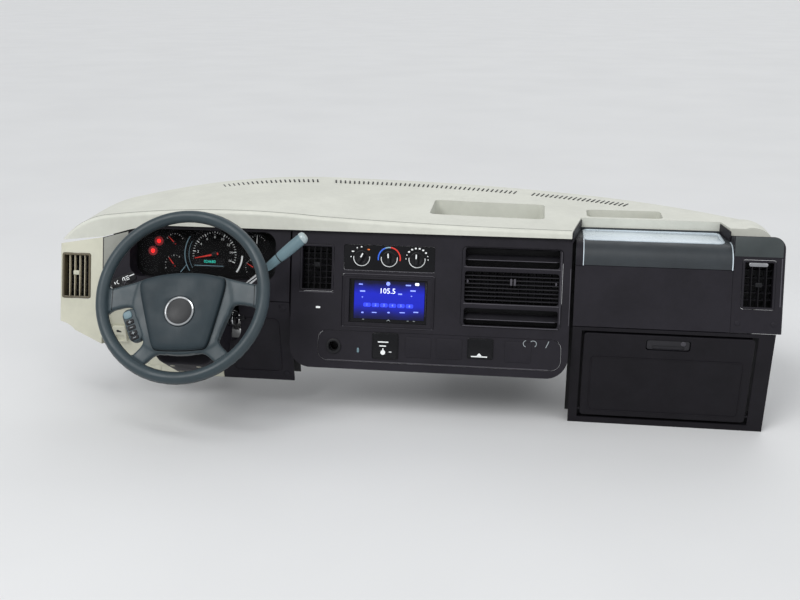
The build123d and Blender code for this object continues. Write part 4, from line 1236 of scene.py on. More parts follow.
@dataclass
class SteeringColumn:
    """Column shroud with its seam and screws, both levers and the ignition lock."""

    half_width: float = 70
    top: float = 50
    foot: float = -140
    near: float = -58
    far: float = -163
    corner: float = 34
    stalk: tuple[Place, Place] = ((-70, 8, -91), (-172, 44, -78))
    lever: tuple[Place, Place] = ((70, 12, -91), (254, 153, -22))
    lock: Place = (70, -14, -128)

    def build(self) -> None:
        """Build the shroud, the levers and the lock."""
        self.build_shroud()
        self.build_stalk()
        self.build_shift_lever()
        self.build_lock()

    def add(self, thing: Thing, slot: str, finish: Finish, nodes: Sequence[str] = ()) -> None:
        """Set a finished piece on the tilting head."""
        Bench.fit(thing, COLUMN, slot, finish, nodes)

    def build_shroud(self) -> None:
        """Build the two-part shroud, split along its sides."""
        width, height = 2 * self.half_width, self.top - self.foot
        middle, depth = (self.top + self.foot) / 2, self.near - self.far
        at = (0, middle, self.far)
        shroud = Bench.plate("column_cover", (width, height, depth), at, self.corner, 5)
        size = (width - 7, height - 7, depth - 3.5)
        hollow = Bench.plate("hollow", size, (0, middle, self.far - 0.5), self.corner - 3)
        bore = Bench.turned("bore", [(15, self.near - 10), (15, self.near + 5)], 40)
        Bench.cut(shroud, hollow, bore)
        Bench.groove(shroud, (0, -6), (0, 1), 1.4, 1.2)
        self.add(shroud, "dark_trim", Finish.DARK, ["column_shroud"])
        collar = [(22, 0), (22, 3), (19, 4.2), (15.5, 4.2), (15.5, 1)]
        boot = Bench.turned("column_collar", collar, 48, (0, 0, self.near - 1))
        bore = Bench.turned("bore", [(14.5, self.near - 5), (14.5, self.near + 9)], 40)
        self.add(Bench.cut(boot, bore), "dark_trim", Finish.RUBBER)
        screw = Bench.turned("screw", [(5.5, 0), (5.5, 1), (3.4, 2.2), (3.2, 0.8), (0.5, 0.8)], 20)
        places = [spot(x, self.foot, z, 90, "X") for x in (-30, 30) for z in (-78, -146)]
        self.add(Bench.copies(screw, places, "column_screws"), "bare_steel", Finish.ZINC)

    def build_stalk(self) -> None:
        """Build the turn stalk with its twist rings and end button."""
        boot = Bench.rod("stalk_boot", self.stalk, (0, 0.16), (13, 12, 9, 8, 6.5))
        self.add(boot, "dark_trim", Finish.RUBBER)
        radii = (5, 5, 5, 5.2, 6, 7.4, 8.4, 8.8, 8.8, 8.6, 8.2, 6.5)
        grip = Bench.rod("stalk_grip", self.stalk, (0.1, 1), radii, 28)
        self.add(grip, "lever_grey", Finish.KNOB, ["turn_stalk"])
        rings = [
            Bench.rod("ring", self.stalk, (share, share + 0.015), (9.2, 9.4, 9.2), 28)
            for share in (0.70, 0.735, 0.77, 0.92)
        ]
        self.add(Bench.join(rings, "stalk_rings"), "dark_trim", Finish.TRIM)

    def build_shift_lever(self) -> None:
        """Build the shift lever: boot, bright rod and a flat grip that widens to its tip, paler
        with painted highlight.
        """
        boot = (19, 18, 17.5, 13, 14, 10.5, 11, 8)
        grip = (7, 9.4, 10.3, 10.8, 11.2, 12.4, 13, 13.3, 13.5, 13.5, 13.4, 12.6)
        tip = (13.9, 13.9, 13.2, 11.6, 8)
        for name, span, radii, sides, flat, slot, finish, nodes in (
            ("boot", (0, 0.2), boot, 20, 1, "dark_trim", Finish.RUBBER, ()),
            ("rod", (0.1, 0.62), (6, 6, 6), 20, 1, "chrome", Finish.CHROME, ()),
            ("grip", (0.5, 0.97), grip, 32, 0.68, "lever_grey", Finish.LEVER, ["shift_lever"]),
            ("collar", (0.667, 0.675), (11.9, 12.1, 11.9), 32, 0.7, "dark_trim", Finish.RUBBER, ()),
            # The paler tip is painted highlight.
            ("tip", (0.955, 1), tip, 32, 0.7, "lever_grey", Finish.PALE, ()),
        ):
            part = Bench.rod("lever_" + name, self.lever, span, radii, sides, flat)
            self.add(part, slot, finish, nodes)

    def build_lock(self) -> None:
        """Build the ignition lock with its key turned in."""
        place = Matrix.Translation(self.lock) @ Matrix.Rotation(math.pi / 2, 4, "Y")
        barrel = [(19, -1), (19, 2), (17, 4), (15.5, 4), (15.5, 14), (14, 19), (10, 20), (9, 18.6)]
        body = Bench.turned("lock_barrel", barrel, 40)
        trim = Bench.turned("lock_ring", [(15.9, 8), (16.3, 9), (16.3, 12), (15.9, 13)], 40)
        blade = Bench.plate("key_blade", (8, 2.2, 8), (0, 0, 17), 0, 0.4)
        head = Bench.plate("key_head", (22, 5, 15), (0, 0, 23), 2, 1.6)
        for part, slot, finish, nodes in (
            (body, "dark_trim", Finish.GLOSS, ["ignition_lock"]),
            (trim, "chrome", Finish.CHROME, ()),
            (blade, "chrome", Finish.STEEL, ()),
            (head, "dark_trim", Finish.KNOB, ()),
        ):
            self.add(Bench.settle(part, place), slot, finish, nodes)


@dataclass(frozen=True)
class Dial:
    """One gauge: its centre, radius, the angles of its scale and how the scale is divided."""

    x: float
    s: float
    radius: float
    start: float
    end: float
    long_ticks: int
    short_ticks: int
    pointer: float
    digits: tuple[str, ...] = ()

    def angles(self, count: int) -> list[float]:
        """Angles of ticks spread evenly over the scale, from start to end."""
        return [self.start + (self.end - self.start) * k / (count - 1) for k in range(count)]


@dataclass
class GaugeCluster:
    """Gauge dials with their scales, pointers, lamps and odometer, behind a clear cover."""

    face: float = -46
    dials: tuple[Dial, ...] = (
        Dial(-459, -44, 53, 200, -20, 9, 33, 192, tuple(str(2 * k) for k in range(9))),
        Dial(-556, -20, 23, 150, 30, 5, 9, 135),
        Dial(-556, -72, 24, 200, 60, 5, 9, 128),
        Dial(-357, -18, 22, 150, 30, 5, 9, 88),
        Dial(-362, -72, 22, 210, 90, 5, 9, 150),
    )
    white_pointer: int = 3
    lamps: tuple[Point, ...] = ((-609.6, -40.4), (-595.1, -17))
    odometer: Point = (-472, -65)

    def build(self) -> None:
        """Build the dials and what they show."""
        self.build_rings()
        self.build_scales()
        self.build_pointers()
        self.build_displays()
        self.build_lamps()

    def add(self, things: Sequence[Thing], name: str, finish: Finish) -> None:
        """Set pieces on the face of the gauges as one."""
        Bench.fit(Bench.join(things, name), FASCIA, "gauge_black", finish)

    def build_rings(self) -> None:
        """Build the raised rim of each small dial and the bright arcs of the large one."""
        rims = [
            Bench.bow("rim", dial.radius + 3, (1.4, 3), 0, 360, (dial.x, dial.s, self.face))
            for dial in self.dials[1:]
        ]
        self.add(rims, "dial_rims", Finish.KNOB)
        large = self.dials[0]
        at = (large.x, large.s, self.face + 0.6)
        tail = Bench.plate("arc", (1.4, 22, 1), (0, 0, -0.5))
        arcs = [
            Bench.bow("arc", 72, (1.8, 1.6), 146, 68, at),
            Bench.bow("arc", 62, (0.9, 1.2), 152, 60, at),
            Bench.settle(tail, spot(-534, -80, self.face + 0.6, -38)),
        ]
        self.add(arcs, "dial_arcs", Finish.ICE)
        bright = Bench.bow("dial_bright_arc", 67.3, (4.2, 2.4), -36, 35, at)
        self.add([bright], "dial_bright_arc", Finish.WHITE)

    def build_scales(self) -> None:
        """Print the ticks and digits of every dial."""
        marks = []
        for dial in self.dials:
            for count, length, width in (
                (dial.long_ticks, 0.13 * dial.radius, 0.035 * dial.radius),
                (dial.short_ticks, 0.07 * dial.radius, 0.018 * dial.radius),
            ):
                tick = Bench.plate("tick", (length, width, 0.4))
                places = [
                    spot(*polar(dial.radius - length / 2, angle, dial.x, dial.s), self.face, angle)
                    for angle in dial.angles(count)
                ]
                marks.append(Bench.copies(tick, places, "ticks"))
            for digit, angle in zip(dial.digits, dial.angles(dial.long_ticks)):
                x, s = polar(0.76 * dial.radius, angle, dial.x, dial.s)
                marks.append(Bench.words(digit, 0.15 * dial.radius, (x, s, self.face + 0.2)))
        self.add(marks, "dial_scales", Finish.WHITE)

    def build_pointers(self) -> None:
        """Set a pointer and its cap on every dial."""
        pointers, caps = [], []
        for dial in self.dials:
            reach = 0.9 * dial.radius
            base = max(1.3, 0.05 * dial.radius)
            shape = [(-0.2 * reach, -base), (reach, -0.3 * base), (reach, 0.3 * base)]
            shape.append((-0.2 * reach, base))
            needle = Bench.outline("needle", shape, 0.8, 2.2)
            pointers.append(Bench.settle(needle, spot(dial.x, dial.s, self.face, dial.pointer)))
            cap = 0.13 * dial.radius
            profile = [(cap, 0), (cap, 3), (0.8 * cap, 4), (0.2 * cap, 4.3)]
            caps.append(Bench.turned("cap", profile, 28, (dial.x, dial.s, self.face)))
        self.add([pointers.pop(self.white_pointer)], "white_pointer", Finish.WHITE)
        self.add(pointers, "dial_pointers", Finish.RED)
        self.add(caps, "pointer_caps", Finish.KNOB)

    def build_displays(self) -> None:
        """Build the odometer's window and its lit digits."""
        x, s = self.odometer
        window = Bench.plate("window", (76, 21, 0.6), (x, s, self.face), 2)
        self.add([window], "odometer_window", Finish.GLOSS)
        digits = Bench.words("024680", 9.5, (x + 2, s + 3.5, self.face + 0.7))
        self.add([digits], "odometer_digits", Finish.TEAL)
        line = Bench.plate("line", (70, 1.2, 0.3), (x, s - 6, self.face + 0.6))
        self.add([line], "odometer_line", Finish.ICE)

    def build_lamps(self) -> None:
        """Light two warning lamps with their glow, and leave two rows of others dark."""
        places = [spot(x, s, self.face) for x, s in self.lamps]
        lens = Bench.turned("lamp", [(4.8, 0), (4.8, 0.8), (3.4, 1.5), (1, 1.8)], 24)
        self.add([Bench.copies(lens, places, "lamps")], "warning_lamps", Finish.LAMP_RED)
        glow = Bench.turned("glow", [(11, 0), (11, 0.2)], 32)
        self.add([Bench.copies(glow, places, "glows")], "lamp_glows", Finish.GLOW_RED)
        dark = Bench.plate("dark_lamp", (8, 5, 0.5), (0, 0, 0), 1.2)
        places = [spot(-628 + 14 * k, -86, self.face) for k in range(3)]
        places += [spot(-500 + 19 * k, 5, self.face) for k in range(5)]
        self.add([Bench.copies(dark, places, "dark_lamps")], "dark_lamps", Finish.GLOSS)


@dataclass
class AirVent:
    """One air vent: bevelled frame, upright vanes with level ones behind, and a tab."""

    name: str
    x: float
    s: float
    width: float
    height: float
    levels: int
    uprights: int
    slot: str
    frame: Finish
    vanes: Finish
    tab: Finish
    tilt: float = 18
    wall: float = 5
    depth: float = 43
    level_depth: float = 12
    upright_depth: float = 13
    upright_turn: float = 8

    def build(self) -> None:
        """Build the vent in its place on the fascia."""
        at = (self.x, self.s)
        size = (self.width, self.height)
        rim = Bench.ring("rim", (*size, 5.4), self.wall, (*at, -4), 6, 0.9)
        sleeve = Bench.ring("sleeve", (size[0] - 2, size[1] - 2, 39), 2, (*at, -self.depth), 5)
        body = Bench.join([rim, sleeve], self.name + "_frame")
        Bench.fit(body, FASCIA, self.slot, self.frame, [self.name])
        back = Bench.plate(self.name + "_back", (size[0] - 4, size[1] - 4, 3), (*at, -self.depth))
        Bench.fit(back, FASCIA, "vent_dark", Finish.DUCT)
        inner = [side - 2 * self.wall + 1.5 for side in size]
        rows = Bench.spread(self.levels, inner[1])
        columns = Bench.spread(self.uprights, inner[0])
        tilted = [spot(self.x, self.s + row, -24, self.tilt, "X") for row in rows]
        turned = [spot(self.x + column, self.s, -8, self.upright_turn, "Y") for column in columns]
        blade = Bench.settle(Bench.blade(inner[1], self.upright_depth), spot(0, 0, 0, 90))
        for part, vane, places, finish in (
            ("_levels", Bench.blade(inner[0], self.level_depth), tilted, Finish.VANE),
            ("_uprights", blade, turned, self.vanes),
        ):
            vanes = Bench.copies(vane, places, self.name + part)
            Bench.fit(vanes, FASCIA, self.slot, finish, (), 50)
        self.build_tab(rows[len(rows) // 2])

    def build_tab(self, row: float) -> None:
        """Clip the ribbed thumb tab onto a vane.

        Args:
            row: Height of the vane above the vent's middle.
        """
        parts = [Bench.plate("tab", (14, 10, 9), (0, 0, -7), 2, 1.4)]
        parts += [Bench.plate("rib", (1.2, 7, 1.2), (x, 0, 1.6), 0.3, 0.3) for x in (-3.6, 0, 3.6)]
        tab = Bench.settle(Bench.join(parts, self.name + "_tab"), spot(self.x, self.s + row))
        Bench.fit(tab, FASCIA, self.slot, self.tab)


@dataclass
class CentreStack:
    """Inserts of the centre stack: climate controls, radio, vent group and accessory strip."""

    x: float = -38
    climate_s: float = -38
    pitch: float = 63
    knob_turns: Place = (-28, 3, 0)
    radio_s: float = -135
    screen: Point = (-36, -132)
    glass: float = -4
    vents: Point = (238, -94)
    slots: tuple[tuple[float, float, int, float], ...] = (
        (-27.5, 43, 1, 30), (-94.5, 72, 7, 12), (-160.5, 40, 1, 30),
    )
    socket: Point = (-160, -241)

    def build(self) -> None:
        """Build every insert."""
        self.build_edges()
        self.build_knobs()
        self.build_climate_marks()
        self.build_radio()
        self.build_screen()
        self.build_vent_group()
        self.build_strip()

    def add(self, things: Sequence[Thing], name: str, slot: str, finish: Finish) -> None:
        """Set pieces on the fascia as one."""
        Bench.fit(Bench.join(things, name), FASCIA, slot, finish)

    def build_edges(self) -> None:
        """Lay lighter lines of painted highlight along the edges that frame the inserts and the
        stack's right side.
        """
        lines = (
            (-38, -66.6, 203, 1.6), (-38, -74.6, 203, 1.4), (65, -134, 1.8, 117),
            (-38, -194.5, 207, 1.8), (366.4, -109, 1.6, 126), (-203, -119.6, 80, 1.6),
            (76, -272.4, 500, 1.6),
        )
        edges = [Bench.plate("edge", (w, h, 0.9), (x, s, 0), 0.6, 0.4) for x, s, w, h in lines]
        self.add(edges, "stack_edges", "dark_trim", Finish.TRIM)

    def build_knobs(self) -> None:
        """Build three fluted knobs, each with a grip bar and a white pointer."""
        drum = [(16.5, 0), (16.5, 1.2), (15, 1.8), (14.2, 9), (13, 10.2), (11.5, 9.2), (1, 9)]
        flute = Bench.plate("flute", (1.6, 1.5, 7), (14.4, 0, 1.6), 0.4, 0.5)
        flutes = Bench.copies(flute, [spot(0, 0, 0, 12 * k) for k in range(30)], "flutes")
        bar = Bench.plate("grip_bar", (7.5, 25, 10), (0, 0, 7.5), 3, 1.8)
        knob = Bench.join([Bench.turned("drum", drum, 40), flutes, bar], "knob")
        columns = [self.x + step * self.pitch for step in (-1, 0, 1)]
        places = [spot(x, self.climate_s, -1, turn) for x, turn in zip(columns, self.knob_turns)]
        knobs = Bench.copies(knob, places, "climate_turning_knobs")
        Bench.fit(knobs, FASCIA, "knob", Finish.KNOB, ["climate_knobs"])
        pointer = Bench.plate("pointer", (2.6, 10, 0.5), (0, 6.5, 17.3), 0.8)
        self.add([Bench.copies(pointer, places, "pointers")], "knob_pointers", "knob", Finish.WHITE)
        at = [(x, self.climate_s, -0.8) for x in columns]
        rings = [Bench.bow("ring", 18.2, (1.8, 0.6), 170, 200, place) for place in at]
        self.add(rings, "knob_rings", "knob", Finish.WHITE)

    def build_climate_marks(self) -> None:
        """Print the scales round the knobs: white marks, and an arc from blue to red."""
        left, middle, right = (self.x + step * self.pitch for step in (-1, 0, 1))
        s, high = self.climate_s, -0.95
        white = [
            Bench.plate("mark", (width, 2.6, 0.3), (*polar(24.5, angle, left, s), high), 0.8)
            for angle, width in ((146, 5.5), (116, 2.6), (92, 3.6), (176, 2.6))
        ]
        for k, angle in enumerate((178, 158, 138, 118, 98, 78, 58, 38, 18, 0)):
            size = 4.2 if 1 < k < 8 else 2.4
            place = (*polar(25, angle, right, s), high)
            white.append(Bench.plate("mark", (size, size * 0.8, 0.3), place, 0.6))
        self.add(white, "climate_marks", "knob", Finish.WHITE)
        warm = Bench.plate("mark", (5.4, 2.6, 0.3), (*polar(24.5, 50, left, s), high), 1)
        self.add([warm], "climate_warm_mark", "knob", Finish.ORANGE)
        for name, start, sweep, finish in (
            ("cold", 112, 78, Finish.BLUE),
            ("mild", 84, 28, Finish.ICE),
            ("hot", -10, 94, Finish.RED),
        ):
            band = Bench.bow("arc", 25, (2.8, 0.5), start, sweep, (middle, s, high + 0.1))
            self.add([band], "climate_%s_arc" % name, "knob", finish)

    def build_radio(self) -> None:
        """Edge the radio, and build its glass front and its signs."""
        at = (self.x, self.radio_s)
        edge = Bench.ring("edge", (203, 113, 3), 2.6, (*at, 0), 6, 0.8)
        step = Bench.ring("step", (186, 107, 6), 4.5, (*at, -5), 4, 1)
        self.add([edge, step], "radio_edges", "dark_trim", Finish.DARK)
        glass = Bench.ring("glass", (176, 98, 1.6), 3, (*at, -4), 3, 0.6)
        self.add([glass], "radio_glass", "radio_black", Finish.GLOSS)
        # Lighter line down the radio's side: painted highlight.
        side = Bench.plate("side", (2.2, 84, 1.2), (47.6, self.radio_s + 10, -3.6), 0.8, 0.4)
        self.add([side], "radio_side_edge", "dark_trim", Finish.TRIM)
        x, low = self.screen[0], -177.5
        arrow = Bench.outline("arrow", [(-5, -2.4), (0, 2), (5, -2.4), (0, -0.4)], 0.3)
        signs = [Bench.settle(arrow, spot(x, low, self.glass))]
        signs += [
            Bench.plate("dot", (4, 1.2, 0.3), (x + step, low, self.glass)) for step in (-58, 44, 58)
        ]
        self.add(signs, "radio_signs", "screen", Finish.GREY)
        key = Bench.plate("sign", (10, 4.4, 0.4), (-198, -154, 0.5), 1.4)
        self.add([key], "stack_key_sign", "knob", Finish.WHITE)

    def build_screen(self) -> None:
        """Lay out the lit screen: status marks, large digits, presets and a foot row."""
        x, s = self.screen
        glass = self.glass
        presets = [(x - 50 + 19.4 * k, s - 12) for k in range(6)]
        keys = [Bench.plate("key", (17, 9, 0.2), (*at, glass), 3) for at in presets]
        self.add(keys, "screen_keys", "screen", Finish.LIT_BLUE)
        marks = (
            (-65.6, 34, 9, 2.4), (-61, 18.5, 12, 3), (43, 35, 12, 2.6), (54, 23, 12, 3),
            (-61, 5, 3, 2), (51, 11, 3, 2), (-60, -30, 5, 3), (-33, -29, 11, 2), (0, -28, 5, 3),
            (31, -27, 12, 2), (62, -25, 11, 2.4), (25, 14.5, 9, 3),
        )
        pale = [
            Bench.plate("mark", (w, h, 0.2), (x + dx, s + ds, glass + 0.3), 0.7)
            for dx, ds, w, h in marks
        ]
        for k, at in enumerate(presets, 1):
            pale.append(Bench.words(str(k), 7.5, (*at, glass + 0.3)))
        at = (x - 2.8, s + 37, glass + 0.3)
        pale.append(Bench.turned("mark", [(4.4, 0), (4.4, 0.2)], 24, at))
        self.add(pale, "screen_marks", "screen", Finish.LIT_PALE)
        bright = [
            Bench.words("105.5", 17, (x - 4, s + 20, glass + 0.2)),
            Bench.plate("mark", (9, 6, 0.2), (x + 63, s + 38, glass + 0.3), 1.6),
        ]
        self.add(bright, "screen_digits", "screen", Finish.LIT_WHITE)

    def build_vent_group(self) -> None:
        """Build the wide vent group: a frame with three openings and their vanes, with lines of
        painted highlight on vane and frame edges.
        """
        x, middle = self.vents
        frame = Bench.plate("vent_group_frame", (222, 178, 8), (x, middle, -6), 10)
        cutters = [
            Bench.plate("cutter", (208, height - 2, 60), (x, s, -30), 6)
            for s, height, _, _ in self.slots
        ]
        Bench.soften(Bench.cut(frame, *cutters), 1.2, 3, 50)
        Bench.fit(frame, FASCIA, "vent_dark", Finish.DARK, ["stack_right_vents"])
        sleeves, vanes, lines = [], [], []
        for s, height, levels, tilt in self.slots:
            at = (x, s, -43)
            sleeves.append(Bench.ring("sleeve", (214, height + 4, 38), 3, at, 5))
            sleeves.append(Bench.plate("back", (210, height, 3), at))
            wide = levels == 1
            blade = Bench.blade(209, 24 if wide else 13)
            rows = Bench.spread(levels, height)
            places = [spot(x, s + row, -12 if wide else -9, tilt, "X") for row in rows]
            vanes.append(Bench.copies(blade, places, "vanes"))
            if wide:
                # Lighter line along the wide vane's front edge: painted highlight.
                lines.append(Bench.plate("line", (196, 1.6, 0.8), (x, s - 6, -1.6), 0.6, 0.3))
            else:
                upright = Bench.settle(Bench.blade(height, 14), spot(0, 0, 0, 90))
                places = [spot(x + step, s, -25, -14, "Y") for step in Bench.spread(11, 208)]
                vanes.append(Bench.copies(upright, places, "uprights"))
            # Lighter lines under each opening and down the frame's side: painted highlight.
            low = s - height / 2 - 1
            lines.append(Bench.plate("line", (212, 1.8, 0.9), (x, low, 1.8), 0.8, 0.4))
        lines.append(Bench.plate("line", (1.6, 160, 0.9), (x + 108, middle + 4, 1.8), 0.7, 0.4))
        self.add(sleeves, "vent_group_sleeves", "vent_dark", Finish.VENT)
        self.add(vanes, "vent_group_vanes", "vent_dark", Finish.VANE)
        self.add(lines, "vent_group_edges", "dark_trim", Finish.TRIM)
        tabs = [Bench.plate("tab", (5, 15, 8), (x + step, -81, -8), 1.6, 1.2) for step in (-1, 7)]
        dots = [Bench.plate("tab", (4, 7, 5), (x + step, -82, -8), 1.4, 1) for step in (-98, 98)]
        self.add([*tabs, *dots], "vent_group_tab", "vent_dark", Finish.TRIM)

    def build_strip(self) -> None:
        """Build what the accessory strip carries: socket, switch plates and their marks."""
        x, s = self.socket
        ring = [(17, 0.8), (17, 2.2), (15.5, 3), (12.4, 3), (11.2, 1)]
        rim = Bench.turned("socket_rim", ring, 48, (x, s, 0))
        bore = Bench.turned("bore", [(10.5, -6), (10.5, 9)], 48, (x, s, 0))
        self.add([Bench.cut(rim, bore)], "socket_rim", "knob", Finish.KNOB)
        contact = Bench.bow("contact", 9.6, (1.2, 14), 0, 360, (x, s, -12))
        self.add([contact], "socket_contact", "chrome", Finish.STEEL)
        plates = [
            Bench.ring("plate", (60, 60, 2), 2, (-41, -236, -1), 4, 0.6),
            Bench.plate("plate", (56, 56, 1.6), (-41, -236, -1), 3, 0.6),
            Bench.plate("key", (20, 15, 3.4), (-42, -250, -1), 3, 1),
            Bench.ring("plate", (58, 46, 2), 2, (174, -232, -1), 4, 0.6),
            Bench.plate("plate", (54, 42, 1.8), (174, -232, -1), 3, 0.6),
        ]
        self.add(plates, "strip_plates", "knob", Finish.GLOSS)
        blank = Bench.plate("blank", (58, 46, 1.2), (0, -236, -1), 4, 0.5)
        blanks = Bench.copies(blank, [spot(at, 0) for at in (34, 104, 258)], "blanks")
        self.add([blanks], "strip_blanks", "dark_trim", Finish.DARK)
        drop = [(5.4, 0), (5.4, 0.4)]
        marks = [
            Bench.plate("mark", (24, 2.6, 0.3), (-45.6, -227, 0.7)),
            Bench.plate("mark", (15, 2.6, 0.3), (-46.4, -236, 0.7)),
            Bench.turned("mark", drop, 24, (-45.4, -250.5, 2.4)),
            Bench.plate("mark", (2.6, 6, 0.4), (-45.4, -244, 2.4), 0.8),
            Bench.plate("mark", (6, 1.8, 0.3), (-29, -249, 0.7)),
            Bench.plate("mark", (36, 2.4, 0.3), (172, -250, 0.8)),
            Bench.outline("mark", [(166, -248), (178, -248), (172, -242)], 0.3, 0.8),
        ]
        self.add(marks, "strip_marks", "knob", Finish.WHITE)
        faint = [
            Bench.bow("mark", 7, (1.4, 0.4), 100, 160, (276, -216, 0.2)),
            Bench.bow("mark", 7, (1.4, 0.4), -60, 200, (291, -216, 0.2)),
            Bench.settle(Bench.plate("mark", (1.6, 16, 0.3)), spot(322, -216, 0.1, -24)),
        ]
        self.add(faint, "strip_faint_marks", "knob", Finish.GREY)
        lamp = Bench.plate("lamp", (5, 11, 1.4), (-103, -248, 0), 2.2, 0.6)
        self.add([lamp], "strip_lamp", "knob", Finish.LEVER)


@dataclass
class DriverSide:
    """Lighting switches, a brow in painted shade, bolster and column panel trim, and the release
    handle.
    """

    switches: Point = (-664, -131)
    signs: Point = (-666, -112)
    signs_turn: float = 24
    handle: Point = (-682, -98)

    def build(self) -> None:
        """Build the pieces round the driver's knees."""
        self.build_switches()
        self.build_signs()
        self.build_brow()
        self.build_bolster_trim()
        self.build_handle()

    def build_switches(self) -> None:
        """Build the row of lighting switches with its dimmer wheel and signs."""
        x, s = self.switches
        base = Bench.plate("switch_row", (78, 20, 4.6), (x, s, 0), 5, 1.6)
        steps = (-27, -8, 11)
        wells = [Bench.plate("well", (17, 13, 6), (x + step, s, 2.6), 2) for step in steps]
        Bench.cut(base, *wells)
        Bench.fit(base, FASCIA, "knob", Finish.KNOB, ["light_switches"])
        key = Bench.plate("key", (15.6, 11.6, 2.4), (0, 0, 2.4), 2, 1)
        keys = Bench.copies(key, [spot(x + step, s) for step in steps], "lighting_keys")
        Bench.fit(keys, FASCIA, "knob", Finish.GLOSS)
        marks = [
            Bench.bow("sign", 3, (1, 0.4), 0, 360, (x - 27, s, 5)),
            Bench.outline("sign", [(x - 11, s - 3), (x - 5, s - 3), (x - 8, s + 3)], 0.3, 4.8),
            Bench.bow("sign", 3, (1, 0.4), 90, 180, (x + 12, s, 5)),
        ]
        marks += [Bench.plate("sign", (4, 0.9, 0.3), (x + 14, s + row, 4.8)) for row in (-2, 0, 2)]
        Bench.fit(Bench.join(marks, "key_signs"), FASCIA, "knob", Finish.WHITE)
        wheel = Bench.turned("dimmer", [(5, -2), (6, -1.4), (6, 1.4), (5, 2)], 36)
        Bench.settle(wheel, spot(x + 30, s, 2, 90, "Y"))
        Bench.fit(wheel, FASCIA, "knob", Finish.RUBBER)

    def build_signs(self) -> None:
        """Build the slanted strip of lit lighting signs above the switches."""
        place = spot(*self.signs, 0, self.signs_turn)
        strip = Bench.settle(Bench.plate("sign_strip", (72, 21, 2.6), (0, 0, 0), 6, 1), place)
        Bench.fit(strip, FASCIA, "knob", Finish.KNOB)
        signs = [
            Bench.turned("sign", [(2.2, 2.6), (2.2, 2.9)], 20, (-29, -3, 0)),
            Bench.plate("sign", (2.4, 9, 0.3), (-17, -1, 2.6), 0.8),
            Bench.bow("sign", 4, (1.6, 0.4), 90, 180, (-8, 0, 2.8)),
            Bench.bow("sign", 4.4, (1.8, 0.4), 90, 180, (8, 1, 2.8)),
            Bench.plate("sign", (1.8, 9, 0.3), (8.6, 1, 2.6)),
        ]
        signs += [Bench.plate("sign", (8, 1.6, 0.3), (16, 1 + row, 2.6)) for row in (-4, 0, 4)]
        signs.append(Bench.plate("sign", (13, 2, 0.3), (28, 3, 2.6), 0.8))
        lit = Bench.settle(Bench.join(signs, "lighting_signs"), place)
        Bench.fit(lit, FASCIA, "knob", Finish.WHITE)

    def build_brow(self) -> None:
        """Lay the brow, beige greyed with painted shade from the pad above, that runs from the end
        housing to the rim's line.
        """
        edge = arc((-652, -6), (-689, -55), (-711.2, -125), 20)
        brow = Bench.outline("brow_panel", [(-711.2, -13), (-652, 3.6), *edge], 2, -0.4)
        Bench.fit(Bench.soften(brow, 0.5, 2, 40), FASCIA, "beige_trim", Finish.WELT)

    def build_bolster_trim(self) -> None:
        """Add raised fields and fastener covers to the bolster and the column panel."""
        profile = [(8, -0.4), (8, 1), (6.6, 1.8), (1, 2)]
        for name, spots, x, width, slot, finish in (
            ("bolster", ((-698, -14), (-600, -188)), -556, 150, "beige_trim", Finish.BEIGE),
            ("panel", ((-283, -14), (-283, -188)), -352, 118, "dark_trim", Finish.DARK),
        ):
            field = Bench.ring(name + "_field", (width, 140, 1.8), 2.2, (x, -112, -0.4), 14, 0.7)
            Bench.fit(field, BOLSTER, slot, finish)
            cap = Bench.turned("cap", profile, 28)
            caps = Bench.copies(cap, [spot(*at) for at in spots], name + "_caps")
            Bench.fit(caps, BOLSTER, slot, finish)

    def build_handle(self) -> None:
        """Build the hood release handle with its finger hollow and sign."""
        x, y = self.handle
        grip = Bench.plate("release_grip", (34, 42, 9), (x, y, 0), 5, 2.6)
        hollow = Bench.plate("hollow", (24, 15, 8), (x, y - 9, 3.5), 5)
        Bench.soften(Bench.cut(grip, hollow), 0.8, 2, 60)
        Bench.fit(grip, BOLSTER, "beige_trim", Finish.BEIGE, ["release_handle"])
        points = [(-6, -3), (6, -3), (6, -1), (-2, 3), (-6, 2)]
        sign = Bench.settle(Bench.outline("release_sign", points, 0.3), spot(x, y + 9, 9))
        Bench.fit(sign, BOLSTER, "beige_trim", Finish.KNOB)


